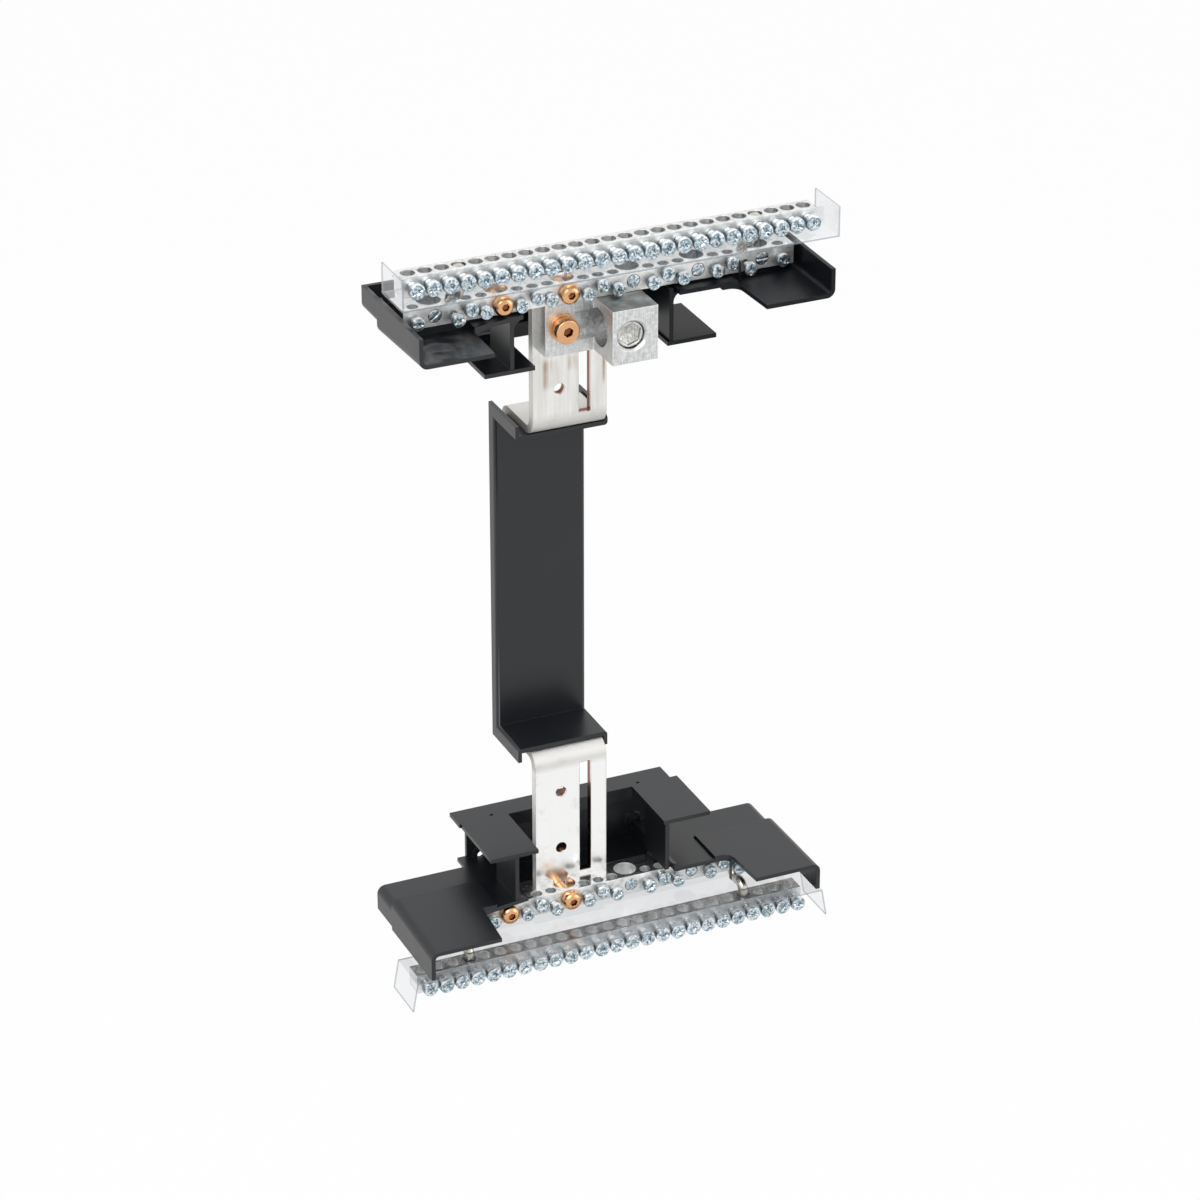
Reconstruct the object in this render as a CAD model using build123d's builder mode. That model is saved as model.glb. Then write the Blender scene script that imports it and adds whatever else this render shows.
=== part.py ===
from build123d import *
import os

# Neutral assembly for a panelboard. Millimetres.
# X runs along the terminal bars to the right, -Y points to the front, +Z points up.
# The origin is the middle of the back face of the bus strap.
# The lower end unit is the upper one mirrored in Z, apart from the parts named below.

os.makedirs("parts", exist_ok=True)

# Bus strap
strap_width = 36.5
strap_thick = 4.0
strap_reach = 36.4
shelf_under = 81.8
bend_inner = 4.0
strap_top = 159.6
slot_x = 7.35
slot_width = 5.8
slot_bottom = 90.4
slot_top = 149.3
plate_hole_x = -5.1
plate_hole_z = 104.1
plate_hole_far_z = 134.3
plate_hole_d = 5.4

# Strap insulator
insulator_left = -24.7
insulator_right = 20.9
insulator_wall = 1.8
insulator_panel = 2.2
insulator_front = -31.7
insulator_flange = 4.8
insulator_round = 1.6

# Pitch of the branch terminals, four of them make one group of the main bar
terminal_pitch = 7.94

# Main bar with mixed terminals
main_bar_x = 10.5
main_bar_deep = 15.9
main_bar_high = 9.5
main_bar_z = 155.8
main_group_shift = -0.44
main_small_step = 7.25
main_end_step = 9.2
main_bar_margin = 6.2
main_small_hole_d = 5.3
main_large_hole_d = 11.0
main_small_hole_y = -45.0
main_large_hole_y = -40.8
notch_play = 0.2

# Branch bar with 25 equal terminals
branch_x = 11.0
branch_count = 25
branch_margin = 4.52
branch_side = 9.5
branch_y = -54.5
branch_z = 176.5
branch_hole_d = 6.7

# Screws
thread_play = 0.05
branch_shank_d = 5.0
branch_head_d = 7.2
branch_head_front = -66.2
branch_head_high = 2.9
small_shank_d = 4.4
small_head_d = 6.3
small_head_high = 2.4
small_head_front = -53.0
small_zigzag = 1.3
set_screw_d = 6.4
set_screw_proud = 0.4
set_slot_wide = 1.0
set_slot_deep = 1.0
bond_shank_d = 6.0
bond_head_d = 9.4
bond_head_high = 4.4
bond_shoulder = 1.2
bond_socket = 3.6
bond_socket_deep = 2.4

# Links between the two bars of one end
link_d = 5.0
link_play = 0.25
link_short = 1.35

# Clear sheets
sheet_thick = 0.8
sheet_short = 5.6
sheet_front = -72.4
sheet_back = -33.4
sheet_tab_back = -48.4
sheet_past = 5.2
flap_high = 14.6
lower_sheet_z = 167.4
lower_flap_lean = 10.0

# Carriers
skin = 2.0
left_room = 5.9
right_room = 4.4
wing_front = -81.6
wing_back = -12.6
step_y = -31.8
rear_z = 148.1
rear_edge_z = 160.2
left_step_z = 144.8
left_front_z = 147.0
left_edge_z = 161.3
right_step_z = 147.0
right_front_z = 146.4
right_edge_z = 160.2
left_rear_inset = 0.4
right_rear_inset = 2.0
wing_round = 4.0
wing_left_in = -53.4
wing_right_in = 74.4
wing_in_taper = 1.6
step_in = 7.5
return_long = 15.0
lip_front = -54.8
pad_in = 8.0
slit_wide = 0.8
opening_left = -28.4
opening_right = 45.8
wall_back = -3.4
wall_left = -41.0
wall_right = 57.0
wall_foot = 4.0
rail_z = 122.9
rail_back = -2.9
rail_front = -15.2
rail_left = -48.4
rail_right = 61.8
skirt_high = 6.9
tab_front = -51.8
left_tab = -47.6
right_tab = 41.3
tab_wide = 24.2
floor_z = 157.5
floor_front = -23.9
web_back = -28.4
left_web = -34.2
right_web = 43.3
web_foot = 4.5
eye_left = -33.6
eye_right = 46.0
eye_z = 147.6
eye_d = 9.6
eye_hole_d = 4.4
eye_high = 1.0

# Lug
lug_left = -15.9
lug_tang_deep = 9.5
lug_bottom = 125.0
lug_top = 150.9
barrel_left = 7.7
barrel_right = 29.7
barrel_deep = 30.0
lug_bore_d = 18.0
lug_bore_y = -51.6
groove_left = -1.6
lug_screw_d = 13.0
lug_screw_x = 17.2
lug_screw_socket = 8.8
lug_screw_sunk = 2.0
lug_screw_end = 0.2
lug_screw_floor = 0.9
lug_mouth_chamfer = 1.0
lug_bolt_x = -7.6
lug_bolt_z = 138.6
lug_bolt_d = 6.3
lug_head_d = 11.6
lug_head_high = 5.2
lug_washer_d = 13.0
lug_washer_high = 1.8
lug_bolt_socket = 4.6
lug_wall = 5.8

# Values worked out from the ones above
main_group_pitch = 4 * terminal_pitch
main_group_x = main_bar_x + main_group_shift
main_bar_long = 5 * main_group_pitch + 2 * (main_end_step + main_bar_margin)
branch_long = (branch_count - 1) * terminal_pitch + 2 * branch_margin
sheet_half = branch_long / 2 - sheet_short
sheet_end = branch_long / 2 + sheet_past
wing_left_out = main_bar_x - main_bar_long / 2 - left_room
wing_right_out = main_bar_x + main_bar_long / 2 + right_room
plate_front = -strap_reach
plate_back = plate_front + strap_thick
shelf_top = shelf_under + strap_thick
bend_outer = bend_inner + strap_thick
main_back = plate_back
main_front = main_back - main_bar_deep
main_top = main_bar_z + main_bar_high / 2
main_bottom = main_bar_z - main_bar_high / 2
branch_front = branch_y - branch_side / 2
branch_under = branch_z - branch_side / 2
link_rise = branch_under - link_short
lug_z = (lug_bottom + lug_top) / 2
large_x = [main_group_x + main_group_pitch * (n - 2.5) for n in range(6)]
group_mid = [main_group_x + main_group_pitch * (n - 2.0) for n in range(5)]
end_x = [large_x[0] - main_end_step, large_x[5] + main_end_step]
low_x = end_x + [m - main_small_step for m in group_mid] + [m + main_small_step for m in group_mid]
bond_x = [large_x[1], large_x[2]]
set_x = [large_x[0], large_x[3], large_x[4], large_x[5]]
branch_xs = [branch_x + terminal_pitch * (n - 12) for n in range(branch_count)]
link_from = [group_mid[0] - main_small_step, group_mid[4] + main_small_step]
link_to = [branch_xs[3], branch_xs[21]]

# Bus strap: one bent copper strap, back run, two shelves and two front plates
with BuildPart() as bus_strap:
    with BuildSketch(Plane.YZ.offset(-strap_width / 2)) as strap_side:
        with BuildLine():
            strap_path = Polyline(
                (plate_front + strap_thick / 2, strap_top - strap_thick / 2),
                (plate_front + strap_thick / 2, shelf_under + strap_thick / 2),
                (-strap_thick / 2, shelf_under + strap_thick / 2),
                (-strap_thick / 2, -shelf_under - strap_thick / 2),
                (plate_front + strap_thick / 2, -shelf_under - strap_thick / 2),
                (plate_front + strap_thick / 2, -strap_top + strap_thick / 2),
            )
            offset(strap_path, strap_thick / 2, side=Side.BOTH, kind=Kind.INTERSECTION)
        make_face()
    extrude(amount=strap_width)
    edges_x = bus_strap.edges().filter_by(Axis.X)
    inner_bends = [e for e in edges_x if abs(abs(e.center().Z) - shelf_under) < 0.1 and e.center().Y > plate_front / 2]
    inner_bends += [e for e in edges_x if abs(abs(e.center().Z) - shelf_top) < 0.1 and e.center().Y < plate_front / 2]
    outer_bends = [e for e in edges_x if abs(abs(e.center().Z) - shelf_top) < 0.1 and e.center().Y > plate_front / 2]
    outer_bends += [e for e in edges_x if abs(abs(e.center().Z) - shelf_under) < 0.1 and e.center().Y < plate_front / 2]
    fillet(inner_bends, bend_inner)
    fillet(outer_bends, bend_outer)
    with BuildSketch(Plane.XZ.offset(-plate_back)):
        with Locations((slot_x, (slot_bottom + slot_top) / 2), (slot_x, -(slot_bottom + slot_top) / 2)):
            Rectangle(slot_width, slot_top - slot_bottom)
        with Locations((plate_hole_x, plate_hole_z), (plate_hole_x, -plate_hole_z), (plate_hole_x, -plate_hole_far_z)):
            Circle(plate_hole_d / 2)
        with Locations((lug_bolt_x, lug_bolt_z)):
            Circle(lug_bolt_d / 2 + thread_play)
        with Locations((bond_x[1], main_bar_z), (bond_x[1], -main_bar_z)):
            Circle(bond_shank_d / 2 + thread_play)
    extrude(amount=strap_thick * 1.5, mode=Mode.SUBTRACT)

bus_strap.part.label = "bus_strap"
export_step(bus_strap.part, "parts/bus_strap.step")

# Strap insulator: channel inside the bend of the strap, its flanges wrap round the strap edges
insulator_mid = (insulator_left + insulator_right) / 2
insulator_wide = insulator_right - insulator_left
insulator_back = -strap_thick
with BuildPart() as strap_insulator:
    with BuildSketch(Plane.YZ.offset(insulator_left)):
        with BuildLine():
            Polyline(
                (insulator_front, shelf_under - insulator_panel),
                (insulator_back - insulator_panel, shelf_under - insulator_panel),
                (insulator_back - insulator_panel, -shelf_under + insulator_panel),
                (insulator_front, -shelf_under + insulator_panel),
                (insulator_front, -shelf_under - insulator_flange),
                (-0.4, -shelf_under - insulator_flange),
                (-0.4, shelf_under + insulator_flange),
                (insulator_front, shelf_under + insulator_flange),
                close=True,
            )
        make_face()
    extrude(amount=insulator_wide)
    round_edges = strap_insulator.edges().filter_by(
        lambda e: e.length > 20 and abs(e.center().Z) < shelf_under
        and abs(abs(e.center().X - insulator_mid) - insulator_wide / 2) < 0.1
        and e.center().Y < -4.5 and e.center().Y > insulator_front + 0.5
    )
    fillet(round_edges, insulator_round)
    with BuildSketch(Plane.YZ.offset(insulator_left + insulator_wall)) as channel:
        with BuildLine():
            Polyline(
                (insulator_front - 1, shelf_under),
                (insulator_back, shelf_under),
                (insulator_back, -shelf_under),
                (insulator_front - 1, -shelf_under),
                (insulator_front - 1, -shelf_under - insulator_flange - 1),
                (1, -shelf_under - insulator_flange - 1),
                (1, shelf_under + insulator_flange + 1),
                (insulator_front - 1, shelf_under + insulator_flange + 1),
                close=True,
            )
        make_face()
        channel_corners = [
            v for v in channel.vertices()
            if abs(v.X - insulator_back) < 0.1 and abs(abs(v.Y) - shelf_under) < 0.1
        ]
        fillet(channel_corners, bend_inner)
    extrude(amount=insulator_wide - 2 * insulator_wall, mode=Mode.SUBTRACT)

strap_insulator.part.label = "strap_insulator"
export_step(strap_insulator.part, "parts/strap_insulator.step")

# Main bar: aluminium bar with 6 large and 17 small upright wire holes and their screws from the front
with BuildPart() as upper_main_bar:
    with BuildSketch(Plane.XY.offset(main_bottom)):
        with Locations((main_bar_x, (main_front + main_back) / 2)):
            Rectangle(main_bar_long, main_bar_deep)
        with Locations((0, (plate_front + main_back) / 2 + 1)):
            Rectangle(strap_width + 2 * notch_play, strap_thick + 2, mode=Mode.SUBTRACT)
        with Locations([(x, main_large_hole_y) for x in large_x]):
            Circle(main_large_hole_d / 2, mode=Mode.SUBTRACT)
        with Locations([(x, main_small_hole_y) for x in low_x + group_mid]):
            Circle(main_small_hole_d / 2, mode=Mode.SUBTRACT)
    extrude(amount=main_bar_high)
    with BuildSketch(Plane.XZ.offset(-main_front)):
        with Locations([(x, main_bar_z - small_zigzag) for x in low_x] + [(x, main_bar_z + small_zigzag) for x in group_mid]):
            Circle(small_shank_d / 2 + thread_play)
        with Locations([(x, main_bar_z) for x in set_x]):
            Circle(set_screw_d / 2 + thread_play)
    extrude(amount=-(main_small_hole_y - main_front), mode=Mode.SUBTRACT)
    with BuildSketch(Plane.XZ.offset(-main_front)):
        with Locations([(x, main_bar_z) for x in bond_x]):
            Circle(bond_shank_d / 2 + thread_play)
    extrude(amount=-main_bar_deep, mode=Mode.SUBTRACT)

upper_main_bar.part.label = "upper_main_bar"
export_step(upper_main_bar.part, "parts/upper_main_bar.step")

# The lower main bar is the same bar, the same way up
with BuildPart() as lower_main_bar:
    with Locations((0, 0, -2 * main_bar_z)):
        add(upper_main_bar.part)

lower_main_bar.part.label = "lower_main_bar"
export_step(lower_main_bar.part, "parts/lower_main_bar.step")

# Small terminal screws of the main bar, outer ones low and middle ones high
with BuildPart() as upper_small_screws:
    with BuildSketch(Plane.XZ.offset(-small_head_front)):
        with Locations([(x, main_bar_z - small_zigzag) for x in low_x] + [(x, main_bar_z + small_zigzag) for x in group_mid]):
            Circle(small_head_d / 2)
    extrude(amount=-small_head_high)
    with BuildSketch(Plane.XZ.offset(-small_head_front - small_head_high)):
        with Locations([(x, main_bar_z - small_zigzag) for x in low_x] + [(x, main_bar_z + small_zigzag) for x in group_mid]):
            Circle(small_shank_d / 2)
    extrude(amount=-(main_small_hole_y - main_small_hole_d / 2 - small_head_front - small_head_high))

upper_small_screws.part.label = "upper_small_screws"
export_step(upper_small_screws.part, "parts/upper_small_screws.step")

with BuildPart() as lower_small_screws:
    with Locations((0, 0, -2 * main_bar_z)):
        add(upper_small_screws.part)

lower_small_screws.part.label = "lower_small_screws"
export_step(lower_small_screws.part, "parts/lower_small_screws.step")

# Slotted set screws of four large terminals
with BuildPart() as upper_set_screws:
    with BuildSketch(Plane.XZ.offset(-main_front + set_screw_proud)):
        with Locations([(x, main_bar_z) for x in set_x]):
            Circle(set_screw_d / 2)
    extrude(amount=-(main_large_hole_y - main_large_hole_d / 2 - main_front + set_screw_proud) - 0.4)
    with BuildSketch(Plane.XZ.offset(-main_front + set_screw_proud)):
        with Locations([(x, main_bar_z) for x in set_x]):
            Rectangle(set_slot_wide, set_screw_d + 1)
    extrude(amount=-set_slot_deep, mode=Mode.SUBTRACT)

upper_set_screws.part.label = "upper_set_screws"
export_step(upper_set_screws.part, "parts/upper_set_screws.step")

with BuildPart() as lower_set_screws:
    with Locations((0, 0, -2 * main_bar_z)):
        add(upper_set_screws.part)

lower_set_screws.part.label = "lower_set_screws"
export_step(lower_set_screws.part, "parts/lower_set_screws.step")

# Bronze socket screws of two large terminals, the one over the strap is screwed into it
with BuildPart() as upper_bond_screws:
    with BuildSketch(Plane.XZ.offset(-main_front)):
        with Locations([(x, main_bar_z) for x in bond_x]):
            Circle(bond_head_d / 2)
    extrude(amount=bond_head_high)
    chamfer(upper_bond_screws.edges().group_by(Axis.Y)[0], bond_shoulder)
    with BuildSketch(Plane.XZ.offset(-main_front)):
        with Locations([(x, main_bar_z) for x in bond_x]):
            Circle(bond_shank_d / 2)
    extrude(amount=-main_bar_deep + 0.4)
    with BuildSketch(Plane.XZ.offset(-main_front + bond_head_high)):
        with Locations([(x, main_bar_z) for x in bond_x]):
            RegularPolygon(bond_socket / 2, 6, major_radius=False)
    extrude(amount=-bond_socket_deep, mode=Mode.SUBTRACT)

upper_bond_screws.part.label = "upper_bond_screws"
export_step(upper_bond_screws.part, "parts/upper_bond_screws.step")

with BuildPart() as lower_bond_screws:
    with Locations((0, 0, -2 * main_bar_z)):
        add(upper_bond_screws.part)

lower_bond_screws.part.label = "lower_bond_screws"
export_step(lower_bond_screws.part, "parts/lower_bond_screws.step")

# Branch bar: square aluminium bar with 25 upright wire holes and 25 screw holes
with BuildPart() as upper_branch_bar:
    with BuildSketch(Plane.XY.offset(branch_under)):
        with Locations((branch_x, branch_y)):
            Rectangle(branch_long, branch_side)
        with Locations([(x, branch_y) for x in branch_xs]):
            Circle(branch_hole_d / 2, mode=Mode.SUBTRACT)
    extrude(amount=branch_side)
    with BuildSketch(Plane.XZ.offset(-branch_front)):
        with Locations([(x, branch_z) for x in branch_xs]):
            Circle(branch_shank_d / 2 + thread_play)
    extrude(amount=-branch_side / 2, mode=Mode.SUBTRACT)

upper_branch_bar.part.label = "upper_branch_bar"
export_step(upper_branch_bar.part, "parts/upper_branch_bar.step")

with BuildPart() as lower_branch_bar:
    mirror(upper_branch_bar.part, about=Plane.XY)

lower_branch_bar.part.label = "lower_branch_bar"
export_step(lower_branch_bar.part, "parts/lower_branch_bar.step")

# Branch terminal screws, backed out so that the wire holes are clear
with BuildPart() as upper_branch_screws:
    with BuildSketch(Plane.XZ.offset(-branch_head_front)):
        with Locations([(x, branch_z) for x in branch_xs]):
            Circle(branch_head_d / 2)
    extrude(amount=-branch_head_high)
    with BuildSketch(Plane.XZ.offset(-branch_head_front - branch_head_high)):
        with Locations([(x, branch_z) for x in branch_xs]):
            Circle(branch_shank_d / 2)
    extrude(amount=-(branch_front - branch_head_front - branch_head_high) - 1.2)

upper_branch_screws.part.label = "upper_branch_screws"
export_step(upper_branch_screws.part, "parts/upper_branch_screws.step")

with BuildPart() as lower_branch_screws:
    mirror(upper_branch_screws.part, about=Plane.XY)

lower_branch_screws.part.label = "lower_branch_screws"
export_step(lower_branch_screws.part, "parts/lower_branch_screws.step")

# Links: bent rods from a small hole of the main bar to a hole of the branch bar
with BuildPart() as upper_bar_links:
    for start_x, stop_x in zip(link_from, link_to):
        with BuildLine() as link_line:
            foot = Line((start_x, main_small_hole_y, main_bottom + 0.6), (start_x, main_small_hole_y, main_top))
            half_way = ((start_x + stop_x) / 2, (main_small_hole_y + branch_y) / 2, (main_top + link_rise) / 2)
            first_bend = TangentArc(foot @ 1, half_way, tangent=(0, 0, 1))
            TangentArc(half_way, (stop_x, branch_y, link_rise), tangent=first_bend % 1)
            Line((stop_x, branch_y, link_rise), (stop_x, branch_y, branch_z + 4.0))
        with BuildSketch(Plane(origin=foot @ 0, z_dir=foot % 0)):
            Circle(link_d / 2)
        sweep(path=link_line.line)

upper_bar_links.part.label = "upper_bar_links"
export_step(upper_bar_links.part, "parts/upper_bar_links.step")

with BuildPart() as lower_bar_links:
    mirror(upper_bar_links.part, about=Plane.XY)

lower_bar_links.part.label = "lower_bar_links"
export_step(lower_bar_links.part, "parts/lower_bar_links.step")

# Clear sheet under the upper branch bar, both ends folded up
with BuildPart() as upper_clear_sheet:
    with BuildSketch(Plane.XY.offset(branch_under - sheet_thick)):
        with Locations((branch_x, (sheet_front + sheet_back) / 2)):
            Rectangle(2 * sheet_half, sheet_back - sheet_front)
        with Locations((branch_x, (sheet_front + sheet_tab_back) / 2)):
            Rectangle(2 * sheet_end, sheet_tab_back - sheet_front)
        with Locations([(x, branch_y) for x in link_to]):
            Circle(link_d / 2 + link_play, mode=Mode.SUBTRACT)
    extrude(amount=sheet_thick)
    with BuildSketch(Plane.XY.offset(branch_under - sheet_thick)):
        with Locations(
            (branch_x - sheet_end + sheet_thick / 2, (sheet_front + sheet_tab_back) / 2),
            (branch_x + sheet_end - sheet_thick / 2, (sheet_front + sheet_tab_back) / 2),
        ):
            Rectangle(sheet_thick, sheet_tab_back - sheet_front)
    extrude(amount=flap_high)

upper_clear_sheet.part.label = "upper_clear_sheet"
export_step(upper_clear_sheet.part, "parts/upper_clear_sheet.step")

# Clear sheet between the lower bars, both ends folded down and leaning outwards
with BuildPart() as lower_clear_sheet:
    with BuildSketch(Plane.XY.offset(-lower_sheet_z - sheet_thick)):
        with Locations((branch_x, (sheet_front + sheet_back) / 2)):
            Rectangle(2 * sheet_half, sheet_back - sheet_front)
        with Locations((branch_x, (sheet_front + sheet_tab_back) / 2)):
            Rectangle(2 * sheet_end, sheet_tab_back - sheet_front)
    extrude(amount=sheet_thick)
    with BuildSketch(Plane.XZ.offset(-sheet_tab_back)):
        with Locations((branch_x - sheet_end, -lower_sheet_z)):
            Rectangle(sheet_thick, flap_high, rotation=-lower_flap_lean, align=(Align.MIN, Align.MAX))
        with Locations((branch_x + sheet_end, -lower_sheet_z)):
            Rectangle(sheet_thick, flap_high, rotation=lower_flap_lean, align=(Align.MAX, Align.MAX))
    extrude(amount=sheet_tab_back - sheet_front)
    for start_x, stop_x in zip(link_from, link_to):
        with BuildLine() as clear_line:
            low_end = Line((start_x, main_small_hole_y, -main_bottom), (start_x, main_small_hole_y, -main_top))
            half_way = ((start_x + stop_x) / 2, (main_small_hole_y + branch_y) / 2, -(main_top + link_rise) / 2)
            low_bend = TangentArc(low_end @ 1, half_way, tangent=(0, 0, -1))
            TangentArc(half_way, (stop_x, branch_y, -link_rise), tangent=low_bend % 1)
            Line((stop_x, branch_y, -link_rise), (stop_x, branch_y, -branch_z))
        with BuildSketch(Plane(origin=low_end @ 0, z_dir=low_end % 0)):
            Circle(link_d / 2 + link_play)
        sweep(path=clear_line.line, mode=Mode.SUBTRACT)

lower_clear_sheet.part.label = "lower_clear_sheet"
export_step(lower_clear_sheet.part, "parts/lower_clear_sheet.step")

# Carrier: moulded support with two hollow wings, two tabs on webs, a back wall with a rail and a floor
left_rear_out = wing_left_out + left_rear_inset
right_rear_out = wing_right_out - right_rear_inset
far_z = wing_round + max(left_edge_z, right_edge_z)
with BuildPart() as upper_carrier:
    # front part of each wing, one step nearer to the middle than the rear part and slightly sloped
    with BuildSketch(Plane.YZ.offset(wing_left_out)):
        with BuildLine():
            Polyline(
                (step_y, left_step_z),
                (wing_front, left_front_z),
                (wing_front, left_edge_z),
                (step_y, left_edge_z),
                close=True,
            )
        make_face()
    extrude(amount=wing_left_in + step_in - wing_left_out)
    with BuildSketch(Plane.YZ.offset(wing_right_in - step_in)):
        with BuildLine():
            Polyline(
                (step_y, right_step_z),
                (wing_front, right_front_z),
                (wing_front, right_edge_z),
                (step_y, right_edge_z),
                close=True,
            )
        make_face()
    extrude(amount=wing_right_out - wing_right_in + step_in)
    with BuildSketch(Plane.XY.offset(rail_z)):
        with BuildLine():
            Polyline(
                (wing_left_in, lip_front),
                (wing_left_in - wing_in_taper, wing_front - 1.0),
                (wing_right_in + wing_in_taper, wing_front - 1.0),
                (wing_right_in, lip_front),
                close=True,
            )
        make_face()
    extrude(amount=far_z - rail_z, mode=Mode.SUBTRACT)
    front_corners = [
        e for e in upper_carrier.edges()
        if (abs(e.center().X - wing_left_out) < 0.1 or abs(e.center().X - wing_right_out) < 0.1)
        and e.length > 20 and e.center().Z < rear_z
    ]
    fillet(front_corners, wing_round)
    right_inner = [
        e for e in upper_carrier.edges().filter_by(Axis.Z)
        if abs(e.center().X - wing_right_in) < 0.1 and abs(e.center().Y - lip_front) < 0.1
    ]
    fillet(right_inner, 5.0)
    # rear part of the wings and the plates up to the opening
    with BuildSketch(Plane.XY.offset(rear_z)):
        with BuildLine():
            Polyline(
                (left_rear_out, wing_back),
                (left_rear_out, step_y - skin),
                (wing_left_in, step_y - skin),
                (wing_left_in, lip_front),
                (opening_left, lip_front),
                (opening_left, wing_back),
                close=True,
            )
        make_face()
        with BuildLine():
            Polyline(
                (right_rear_out, wing_back),
                (right_rear_out, step_y - skin),
                (wing_right_in, step_y - skin),
                (wing_right_in - 5.0, lip_front),
                (opening_right, lip_front),
                (opening_right, wing_back),
                close=True,
            )
        make_face()
    extrude(amount=rear_edge_z - rear_z)
    rear_corners = [
        e for e in upper_carrier.edges().filter_by(Axis.Y)
        if (abs(e.center().X - left_rear_out) < 0.1 or abs(e.center().X - right_rear_out) < 0.1)
        and abs(e.center().Z - rear_z) < 0.1 and e.center().Y > step_y
    ]
    fillet(rear_corners, wing_round)
    # hollow inside of the shells, open away from the strap
    with BuildSketch(Plane.YZ.offset(wing_left_out + skin)):
        with BuildLine():
            Polyline(
                (step_y - skin, left_step_z + skin),
                (wing_front - 1.0, left_front_z + skin),
                (wing_front - 1.0, far_z),
                (step_y - skin, far_z),
                close=True,
            )
        make_face()
    extrude(amount=wing_left_in - wing_left_out - skin, mode=Mode.SUBTRACT)
    with BuildSketch(Plane.YZ.offset(wing_right_in)):
        with BuildLine():
            Polyline(
                (step_y - skin, right_step_z + skin),
                (wing_front - 1.0, right_front_z + skin),
                (wing_front - 1.0, far_z),
                (step_y - skin, far_z),
                close=True,
            )
        make_face()
    extrude(amount=wing_right_out - wing_right_in - skin, mode=Mode.SUBTRACT)
    hollow_edges = [
        e for e in upper_carrier.edges()
        if (abs(e.center().X - wing_left_out - skin) < 0.1 or abs(e.center().X - wing_right_out + skin) < 0.1)
        and e.length > 20 and e.center().Z < rear_z + skin
    ]
    fillet(hollow_edges, wing_round - skin)
    with BuildSketch(Plane.XY.offset(rear_z + skin)):
        with Locations(((wing_left_in + wing_right_in) / 2, (lip_front + step_y) / 2)):
            Rectangle(wing_right_in - wing_left_in, step_y - lip_front + 1.0)
    extrude(amount=far_z - rear_z - skin, mode=Mode.SUBTRACT)
    with BuildSketch(Plane.XZ.offset(-step_y + skin)) as rear_hollow:
        with Locations(((left_rear_out + right_rear_out) / 2, (rear_z + skin + far_z) / 2)):
            Rectangle(right_rear_out - left_rear_out - 2 * skin, far_z - rear_z - skin)
        fillet(rear_hollow.vertices().group_by(Axis.Y)[0], wing_round - skin)
    extrude(amount=step_y - wing_back, mode=Mode.SUBTRACT)
    # the back of the wings is closed only by a short return at each end
    with BuildSketch(Plane.XZ.offset(-wing_back + skin)):
        with Locations(((left_rear_out + right_rear_out) / 2, (rear_z + skin + far_z) / 2)):
            Rectangle(right_rear_out - left_rear_out - 2 * return_long, far_z - rear_z - skin)
    extrude(amount=-skin - 1.0, mode=Mode.SUBTRACT)
    # slit beside the raised part of the right wing
    with BuildSketch(Plane.XY.offset(rail_z)):
        with Locations((wing_right_in - step_in - slit_wide / 2, (lip_front + 2.0 + step_y) / 2)):
            Rectangle(slit_wide, step_y - lip_front - 2.0)
    extrude(amount=rear_z + skin / 2 - rail_z, mode=Mode.SUBTRACT)
    # pads that carry the main bar
    with BuildSketch(Plane.XY.offset(main_bottom)):
        with Locations(((wing_left_in + opening_left) / 2, (main_front + main_back) / 2)):
            Rectangle(opening_left - wing_left_in, main_bar_deep - 2.0)
        with Locations(((wing_right_out - pad_in + opening_right) / 2, (main_front + main_back) / 2)):
            Rectangle(wing_right_out - pad_in - opening_right, main_bar_deep - 2.0)
    extrude(amount=rear_z + 0.4 - main_bottom)
    with BuildSketch(Plane.XY.offset(main_bottom)):
        with Locations(((wing_left_out + pad_in + wing_left_in) / 2, (main_front + main_back) / 2)):
            Rectangle(wing_left_in - wing_left_out - pad_in, main_bar_deep - 2.0)
    extrude(amount=left_step_z + skin - 0.4 - main_bottom)
    # back wall, floor behind the main bar and the two cheeks that join them to the wings
    with BuildSketch(Plane.XZ.offset(-wall_back)):
        with Locations(((wall_left + wall_right) / 2, (rail_z + floor_z + skin) / 2)):
            Rectangle(wall_right - wall_left, floor_z + skin - rail_z)
        with Locations(((wall_left - wall_foot + opening_left) / 2, rear_z + skin / 2)):
            Rectangle(opening_left - wall_left + wall_foot, skin)
        with Locations(((wall_right + wall_foot + opening_right) / 2, rear_z + skin / 2)):
            Rectangle(wall_right + wall_foot - opening_right, skin)
    extrude(amount=skin)
    with BuildSketch(Plane.XY.offset(rear_z)):
        with Locations(((wall_left - wall_foot + opening_left) / 2, (wing_back - 2.0 + wall_back) / 2)):
            Rectangle(opening_left - wall_left + wall_foot, wall_back - wing_back + 2.0)
        with Locations(((wall_right + wall_foot + opening_right) / 2, (wing_back - 2.0 + wall_back) / 2)):
            Rectangle(wall_right + wall_foot - opening_right, wall_back - wing_back + 2.0)
    extrude(amount=skin)
    with BuildSketch(Plane.XY.offset(floor_z)):
        with Locations(((opening_left + opening_right) / 2, (floor_front + wall_back) / 2)):
            Rectangle(opening_right - opening_left, wall_back - floor_front)
    extrude(amount=skin)
    with BuildSketch(Plane.YZ.offset(opening_left - skin)):
        with Locations(((floor_front + wall_back) / 2, (rear_z + floor_z + skin) / 2)):
            Rectangle(wall_back - floor_front, floor_z + skin - rear_z)
    extrude(amount=skin)
    with BuildSketch(Plane.YZ.offset(opening_right)):
        with Locations(((floor_front + wall_back) / 2, (rear_z + floor_z + skin) / 2)):
            Rectangle(wall_back - floor_front, floor_z + skin - rear_z)
    extrude(amount=skin)
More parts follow.
